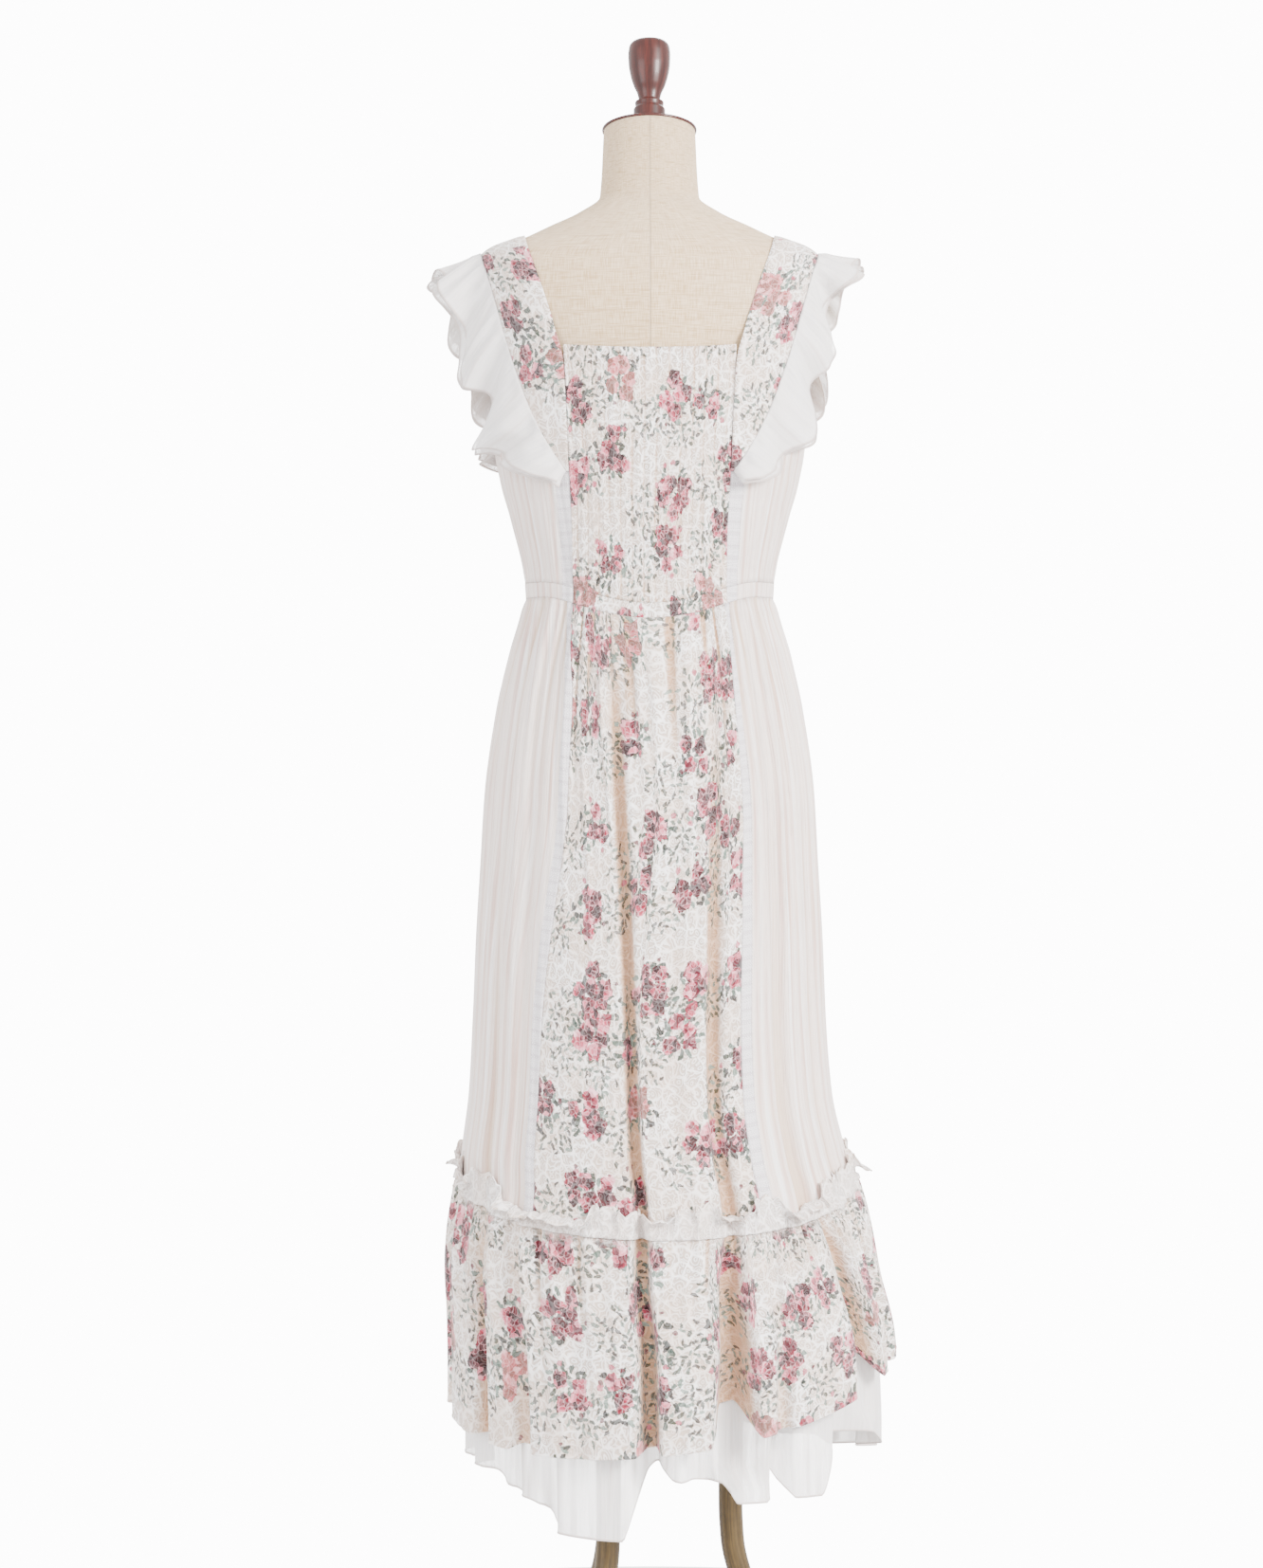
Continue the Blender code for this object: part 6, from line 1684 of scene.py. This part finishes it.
def fine_frill(face, face_out, word, layer):
    """One frill's outer face, with smooth flutes: rows along the strap's outer edge, columns to its free
    edge. Layer 0 is the upper frill and layer 1 the one under it."""
    side = -1 if word == "left" else 1
    root = face[:, -1]
    edge_way = face[:, -1] - face[:, -2]
    edge_way /= np.linalg.norm(edge_way, axis=-1, keepdims=True)
    rows = np.array([*FRILL_REACH[word], *reversed(FRILL_REACH[word][:-1])])
    reach = along(rows[:, None, :], STRAP_STEPS)[:, 0]
    shares = np.array([0.0, 0.5, 1.0])
    front = root[:, 1] > 0.004
    steps = np.linspace(0, 1, STRAP_STEPS + 1)
    top = np.clip(1 - np.abs(steps * 2 - 1) / 0.30, 0, 1)
    columns = []
    for share in shares:
        x = root[:, 0] + side * reach[:, 0] * share
        z = root[:, 2] - reach[:, 1] * share
        near = on_worn(x, z, front, limit=0.97)
        near[:, 1] += (root[:, 1] - near[:, 1]) * np.clip(np.maximum(1 - share, top), 0, 1)
        columns.append(near)
    grid = np.stack(columns, axis=1)
    grid[:, 2] += (grid[:, 2] - grid[:, 1]) * 2 * layer * (UNDER_FRILL_LONGER - 1)
    grid = off_worn(grid, STRAP_LIFT + FRILL_LIFT + FRILL_SPREAD * shares[None, :], 0.0)
    normal = grid_normals(grid, worn_distance(grid)[1])
    face_normal = grid_normals(face, face_out)[:, -1]
    grid[:, 0] = root + face_normal * (0.0003 - layer * (SHEER + 0.0001)) - edge_way * FRILL_OVERLAP
    grid = both_ways(grid, FRILL_ROWS, FRILL_COLUMNS)
    normal = both_ways(normal, FRILL_ROWS, FRILL_COLUMNS)
    normal /= np.linalg.norm(normal, axis=-1, keepdims=True)
    step = np.linspace(0, 1, FRILL_ROWS + 1)[:, None]
    share = np.linspace(0, 1, FRILL_COLUMNS + 1)[None, :]
    turns = 2 * np.pi * FRILL_FLUTES * step + 0.45 * np.sin(2 * np.pi * 1.7 * step + side) - 0.5 * layer
    uneven = 1 + 0.35 * np.sin(2 * np.pi * 2.6 * step + 2.0 * side)
    grid = grid + (grid - grid[:, :1]) * FRILL_LOBES * uneven[..., None] * np.sin(turns)[..., None]
    wave = turns + 0.7 * share
    flute = FRILL_FLUTE_HEIGHT * 1.5 * uneven * (np.sin(wave) + 0.25 * np.sin(2 * wave + 1.0)) * share**0.9
    drift = 3 * np.sin(2 * np.pi * 3.1 * step)
    fine = FRILL_FINE_HEIGHT * np.sin(2 * np.pi * FRILL_FINE_WAVES * step + drift) * eased(share, 0.2)
    fine = fine * (1.15 - 0.5 * share)
    gather = FRILL_GATHER_HEIGHT * np.sin(2 * np.pi * FRILL_GATHERS * step + 4 * uneven)
    gather = gather * np.clip(1 - share / 0.35, 0, 1) * eased(share, 0.06)
    drop = layer * UNDER_FRILL_DROP * (0.45 + 0.55 * share) * eased(share, 0.2)
    return grid + normal * (flute + fine + gather - drop)[..., None]


def strap_and_frill_shells():
    """Both straps, each with its two frills."""
    for side, word in ((-1, "left"), (1, "right")):
        face, out = strap_face(side)
        fine = both_ways(face, STRAP_ROWS, STRAP_COLUMNS)
        fine_out = worn_distance(fine)[1]
        run = run_along(fine[:, 8])[:, None]
        width = np.cumsum(np.linalg.norm(np.diff(fine, axis=1), axis=-1), axis=1)
        width = np.concatenate([np.zeros((fine.shape[0], 1)), width], axis=1)
        flat = flat_places(width * 1.15 + 7.7 * (2 + side), run)
        normal = grid_normals(fine, fine_out)
        edge = np.minimum(width, width[:, -1:] - width)
        down = 0.0004 + 0.0010 * np.exp(-((edge / 0.004) ** 2))
        lap = np.interp(fine[:, :1, 2], STRAP_LAP_HEIGHTS, STRAP_LAPS) * np.exp(-((width / 0.006) ** 2))
        aside = fine[:, :1] - fine[:, 1:2]
        aside /= np.linalg.norm(aside, axis=-1, keepdims=True)
        over = np.clip(lap / 0.0018, 0, 1) * 0.0019
        lift = rolled_hem(edge, 0.003, 0.0004) - down + over
        fine = fine + normal * lift[..., None] + aside * lap[..., None]
        obj = shell(f"cloth_strap_{word}", fine, SHELL, MATERIALS["floral_lace"], flat, {}, inward=-normal)
        place(obj, f"strap_{word}", slot="floral_lace")
        for layer, name in enumerate(("frill_upper", "frill_under")):
            grid = fine_frill(face, out, word, layer)
            normal = grid_normals(grid, worn_distance(grid)[1])
            reach = np.linalg.norm(grid[:, -1] - grid[:, 0], axis=-1)[:, None]
            shares = np.linspace(0, 1, grid.shape[1])[None, :]
            from_edge = reach * (1 - shares)
            grid = grid + normal * rolled_hem(from_edge, 0.0024, 0.0005)[..., None]
            flat = flat_places(np.linspace(0, 0.62, grid.shape[0])[:, None] + 2.0 * layer, shares * 0.06)
            marks = {"edge": np.clip(from_edge / 0.0026, 0, 1)}
            obj = shell(f"cloth_{name}_{word}", grid, SHEER, MATERIALS["chiffon"], flat, marks,
                        inward=-normal)
            place(obj, f"{name}_{word}", slot="chiffon")


# Form and stand


def lathe(name, profile, sides, finish, matrix, steps=24):
    """A turned piece: a smooth curve through its profile of radius and height, spun round its own axis."""
    profile = np.array(profile, float)
    run = run_along(profile)
    fine_run = np.unique(np.concatenate([np.linspace(0, run[-1], steps), run]))
    radius, height = (curve_through(fine_run, run, values)[:, None] for values in profile.T)
    turns = np.linspace(0, 2 * np.pi, sides, endpoint=False)
    rings = np.broadcast_arrays(radius * np.cos(turns), radius * np.sin(turns), height)
    return capped_tube(name, np.stack(rings, axis=-1), finish, matrix)


def capped_tube(name, grid, finish, matrix=None):
    """A closed tube from a stack of rings with flat ends, turned so that its faces point out."""
    rows, sides = grid.shape[:2]
    faces = grid_faces(rows, sides, True, 0).tolist()
    faces.append(list(range(sides)))
    faces.append(list(range((rows - 1) * sides, rows * sides))[::-1])
    points = grid.reshape(-1, 3)
    if matrix is not None:
        turn = np.array(matrix)
        points = points @ turn[:3, :3].T + turn[:3, 3]
    obj = mesh_object(name, points + AXIS, faces, finish)
    if signed_volume(obj.data) < 0:
        obj.data.flip_normals()
    corners = corner_points(obj.data)
    row, place_round = corners // sides, corners % sides
    quad_corners = 4 * (rows - 1) * sides
    place_round[:quad_corners] = wrapped(place_round[:quad_corners], sides)
    run = run_along(grid[:, 0])
    girth = run_along(grid[rows // 2])[-1]
    set_flat(obj.data, np.stack([place_round / sides * girth, run[row]], axis=-1))
    return place(obj)


def signed_volume(mesh):
    """Six times the volume that the faces close in, below zero if they point in."""
    mesh.calc_loop_triangles()
    corners = np.empty(len(mesh.loop_triangles) * 3, int)
    mesh.loop_triangles.foreach_get("vertices", corners)
    points = np.empty(len(mesh.vertices) * 3)
    mesh.vertices.foreach_get("co", points)
    a, b, c = points.reshape(-1, 3)[corners].reshape(-1, 3, 3).transpose(1, 0, 2)
    return float(np.einsum("ij,ij->i", a, np.cross(b, c)).sum())


def form_cover():
    """The form's linen cover, drawn smooth."""
    low = np.linspace(FORM_BOTTOM_Z, SHOULDER_Z, FORM_ROWS[0], endpoint=False)
    heights = np.concatenate([low, np.linspace(SHOULDER_Z, NECK_TOP_Z, FORM_ROWS[1])])
    turns = np.radians(np.linspace(0, 360, FORM_COLUMNS_ROUND, endpoint=False))
    rings = []
    for z in heights:
        middle, half, back, front = (float(v) for v in form_section(z))
        depth = np.where(np.cos(turns) > 0, back, front)
        y = -depth * np.cos(turns)
        leaning = NECK_TILT * np.clip((z - NECK_FOOT_Z) / (NECK_TOP_Z - NECK_FOOT_Z), 0, 1)
        rings.append(np.stack([half * np.sin(turns), middle + y, z - y * math.tan(leaning)], axis=-1))
    obj = capped_tube("form_cover", np.array(rings), MATERIALS["linen"])
    place(obj, "form_body", slot="linen")


def neck_and_knob():
    """The neck's wooden cap, square to the leaning neck, and the turned knob on it."""
    middle = float(form_section(NECK_TOP_Z)[0])
    lean = Matrix.Rotation(-NECK_TILT, 4, "X")
    top = Vector((0.0, middle, NECK_TOP_Z))
    up = lean @ Vector((0.0, 0.0, 1.0))
    wood = MATERIALS["dark_wood"]
    cap = lathe("neck_cap_turned", CAP_PROFILE, 72, wood, Matrix.Translation(top + up * SEAM_GAP) @ lean)
    place(cap, "form_neck_cap", slot="dark_wood")
    seat = top + up * (SEAM_GAP * 2 + CAP_THICKNESS)
    knob = lathe("knob_turned", KNOB_PROFILE, 56, wood, Matrix.Translation(seat) @ lean, steps=90)
    place(knob, "form_knob", slot="dark_wood")


def wooden_stand():
    """The column, the hub, and three legs with their feet."""
    wood = MATERIALS["stand_wood"]
    low, high = HUB_Z + 0.0523, FORM_BOTTOM_Z - SEAM_GAP
    thin = COLUMN_RADIUS * 0.9
    profile = ((thin, low), (COLUMN_RADIUS, low + 0.001), (COLUMN_RADIUS, high - 0.001), (thin, high))
    post = lathe("column_turned", profile, 40, wood, Matrix.Identity(4))
    place(post, "stand_column", slot="stand_wood")
    hub = lathe("hub_turned", HUB_PROFILE, 44, wood, Matrix.Translation((0, 0, HUB_Z)), steps=50)
    place(hub, "stand_hub", slot="stand_wood")
    pad = (
        (FOOT_PAD_RADIUS - 0.0015, 0.0), (FOOT_PAD_RADIUS, 0.0012),
        (FOOT_PAD_RADIUS, FOOT_PAD_HEIGHT - 0.0015), (FOOT_PAD_RADIUS - 0.0018, FOOT_PAD_HEIGHT),
    )
    for word, direction in LEG_DIRECTIONS.items():
        a = math.radians(direction)
        fine_leg(f"leg_{word}_bent", a, f"stand_leg_{word}")
        spot = Vector((math.sin(a), -math.cos(a), 0)) * FOOT_RING_RADIUS
        foot = lathe(f"foot_{word}_turned", pad, 40, wood, Matrix.Translation(spot))
        place(foot, f"stand_foot_{word}", slot="stand_wood")


def fine_leg(name, direction, node):
    """A leg: a round bar of changing thickness along the leg's centreline."""
    out = np.array([math.sin(direction), -math.cos(direction), 0.0])
    sideways = np.array([math.cos(direction), math.sin(direction), 0.0])
    keys = np.array(LEG_PATH)
    run = run_along(keys[:, :2])
    fine_run = np.linspace(0, run[-1], 120)
    reach, height, radius = (curve_through(fine_run, run, keys[:, i]) for i in range(3))
    path = reach[:, None] * out + height[:, None] * np.array([0.0, 0.0, 1.0])
    ahead = np.gradient(path, axis=0)
    ahead[0] = out
    ahead /= np.linalg.norm(ahead, axis=-1, keepdims=True)
    upwards = np.cross(sideways, ahead)[:, None]
    turns = np.linspace(0, 2 * np.pi, 28, endpoint=False)[None, :, None]
    ring = sideways * np.cos(turns) + upwards * np.sin(turns)
    obj = capped_tube(name, path[:, None] + ring * radius[:, None, None], MATERIALS["stand_wood"])
    place(obj, node, slot="stand_wood")


# Stage, light and camera
FLOOR_RADIUS = 0.54
SKY_STRENGTH = 2.45       # of the soft light from all sides
BACKDROP_STRENGTH = 13.0  # what the camera sees behind the object
# Soft lamps: name, place, where it aims, size, watts, colour
LAMPS = (
    ("key", (2.5, -2.4, 2.2), (0.0, 0.0, 0.85), 1.1, 360.0, (1.0, 0.975, 0.95)),
    ("fill", (-2.4, -2.2, 1.7), (0.0, 0.0, 0.85), 2.0, 60.0, (0.98, 0.98, 1.0)),
    ("back", (0.6, 2.8, 2.4), (0.0, 0.0, 0.9), 2.0, 80.0, (1.0, 1.0, 1.0)),
)

# The photograph's frame, and where it has the form's axis and the camera's own height, in pixels
PHOTO_WIDTH, PHOTO_HEIGHT = 1332, 1654
AXIS_COLUMN, LEVEL_ROW = 685, 807
METRES_PER_PIXEL = 0.00095
CAMERA_AWAY = 4.5
CAMERA_Z = 0.900
SENSOR = 36.0             # the camera sensor's height in millimetres


def studio():
    """A pale round floor, soft light and a white backdrop."""
    floor = bpy.data.meshes.new("floor")
    turns = np.radians(np.arange(0, 360, 3))
    rim = [(FLOOR_RADIUS * math.cos(t) + AXIS[0], FLOOR_RADIUS * math.sin(t) + AXIS[1], 0.0) for t in turns]
    floor.from_pydata(rim, [], [tuple(range(len(rim)))])
    floor.materials.append(stage_paint())
    obj = bpy.data.objects.new("floor", floor)
    bpy.context.scene.collection.objects.link(obj)
    world = bpy.data.worlds.new("studio")
    world.use_nodes = True
    tree = world.node_tree
    light = tree.nodes["Background"]
    light.inputs[0].default_value = (1.0, 0.985, 0.98, 1.0)
    light.inputs[1].default_value = SKY_STRENGTH
    white = tree.nodes.new("ShaderNodeBackground")
    white.inputs[0].default_value = (1.0, 1.0, 1.0, 1.0)
    white.inputs[1].default_value = BACKDROP_STRENGTH
    seen = tree.nodes.new("ShaderNodeLightPath")
    choice = tree.nodes.new("ShaderNodeMixShader")
    tree.links.new(seen.outputs["Is Camera Ray"], choice.inputs[0])
    tree.links.new(light.outputs[0], choice.inputs[1])
    tree.links.new(white.outputs[0], choice.inputs[2])
    tree.links.new(choice.outputs[0], tree.nodes["World Output"].inputs["Surface"])
    bpy.context.scene.world = world
    for row in LAMPS:
        lamp(*row)


def lamp(name, spot, aim, size, watts, colour):
    """One square area light."""
    light = bpy.data.lights.new(name, "AREA")
    light.size = size
    light.energy = watts
    light.color = colour
    obj = bpy.data.objects.new(name, light)
    obj.location = spot
    obj.rotation_euler = (Vector(aim) - Vector(spot)).to_track_quat("-Z", "Y").to_euler()
    bpy.context.scene.collection.objects.link(obj)


def photo_camera():
    """The photograph's view, straight at the dress's back and almost level."""
    camera = bpy.data.cameras.new("photo")
    camera.sensor_fit = "VERTICAL"
    camera.sensor_height = SENSOR
    camera.lens = SENSOR * CAMERA_AWAY / (PHOTO_HEIGHT * METRES_PER_PIXEL)
    obj = bpy.data.objects.new("photo", camera)
    x = AXIS[0] + (PHOTO_WIDTH / 2 - AXIS_COLUMN) * METRES_PER_PIXEL
    spot = Vector((x, AXIS[1] - CAMERA_AWAY, CAMERA_Z))
    aim = Vector((x, AXIS[1], CAMERA_Z + (LEVEL_ROW - PHOTO_HEIGHT / 2) * METRES_PER_PIXEL))
    obj.location = spot
    obj.rotation_euler = (aim - spot).to_track_quat("-Z", "Y").to_euler()
    bpy.context.scene.collection.objects.link(obj)
    bpy.context.scene.camera = obj


form_cover()
neck_and_knob()
wooden_stand()
bodice_shells()
casing_shells()
skirt_outside = skirt_shells()
flounce_inside, flounce_outside = flounce_shells()
heading_shells(skirt_outside, flounce_outside)
underskirt_shell(flounce_inside)
strap_and_frill_shells()
studio()
photo_camera()
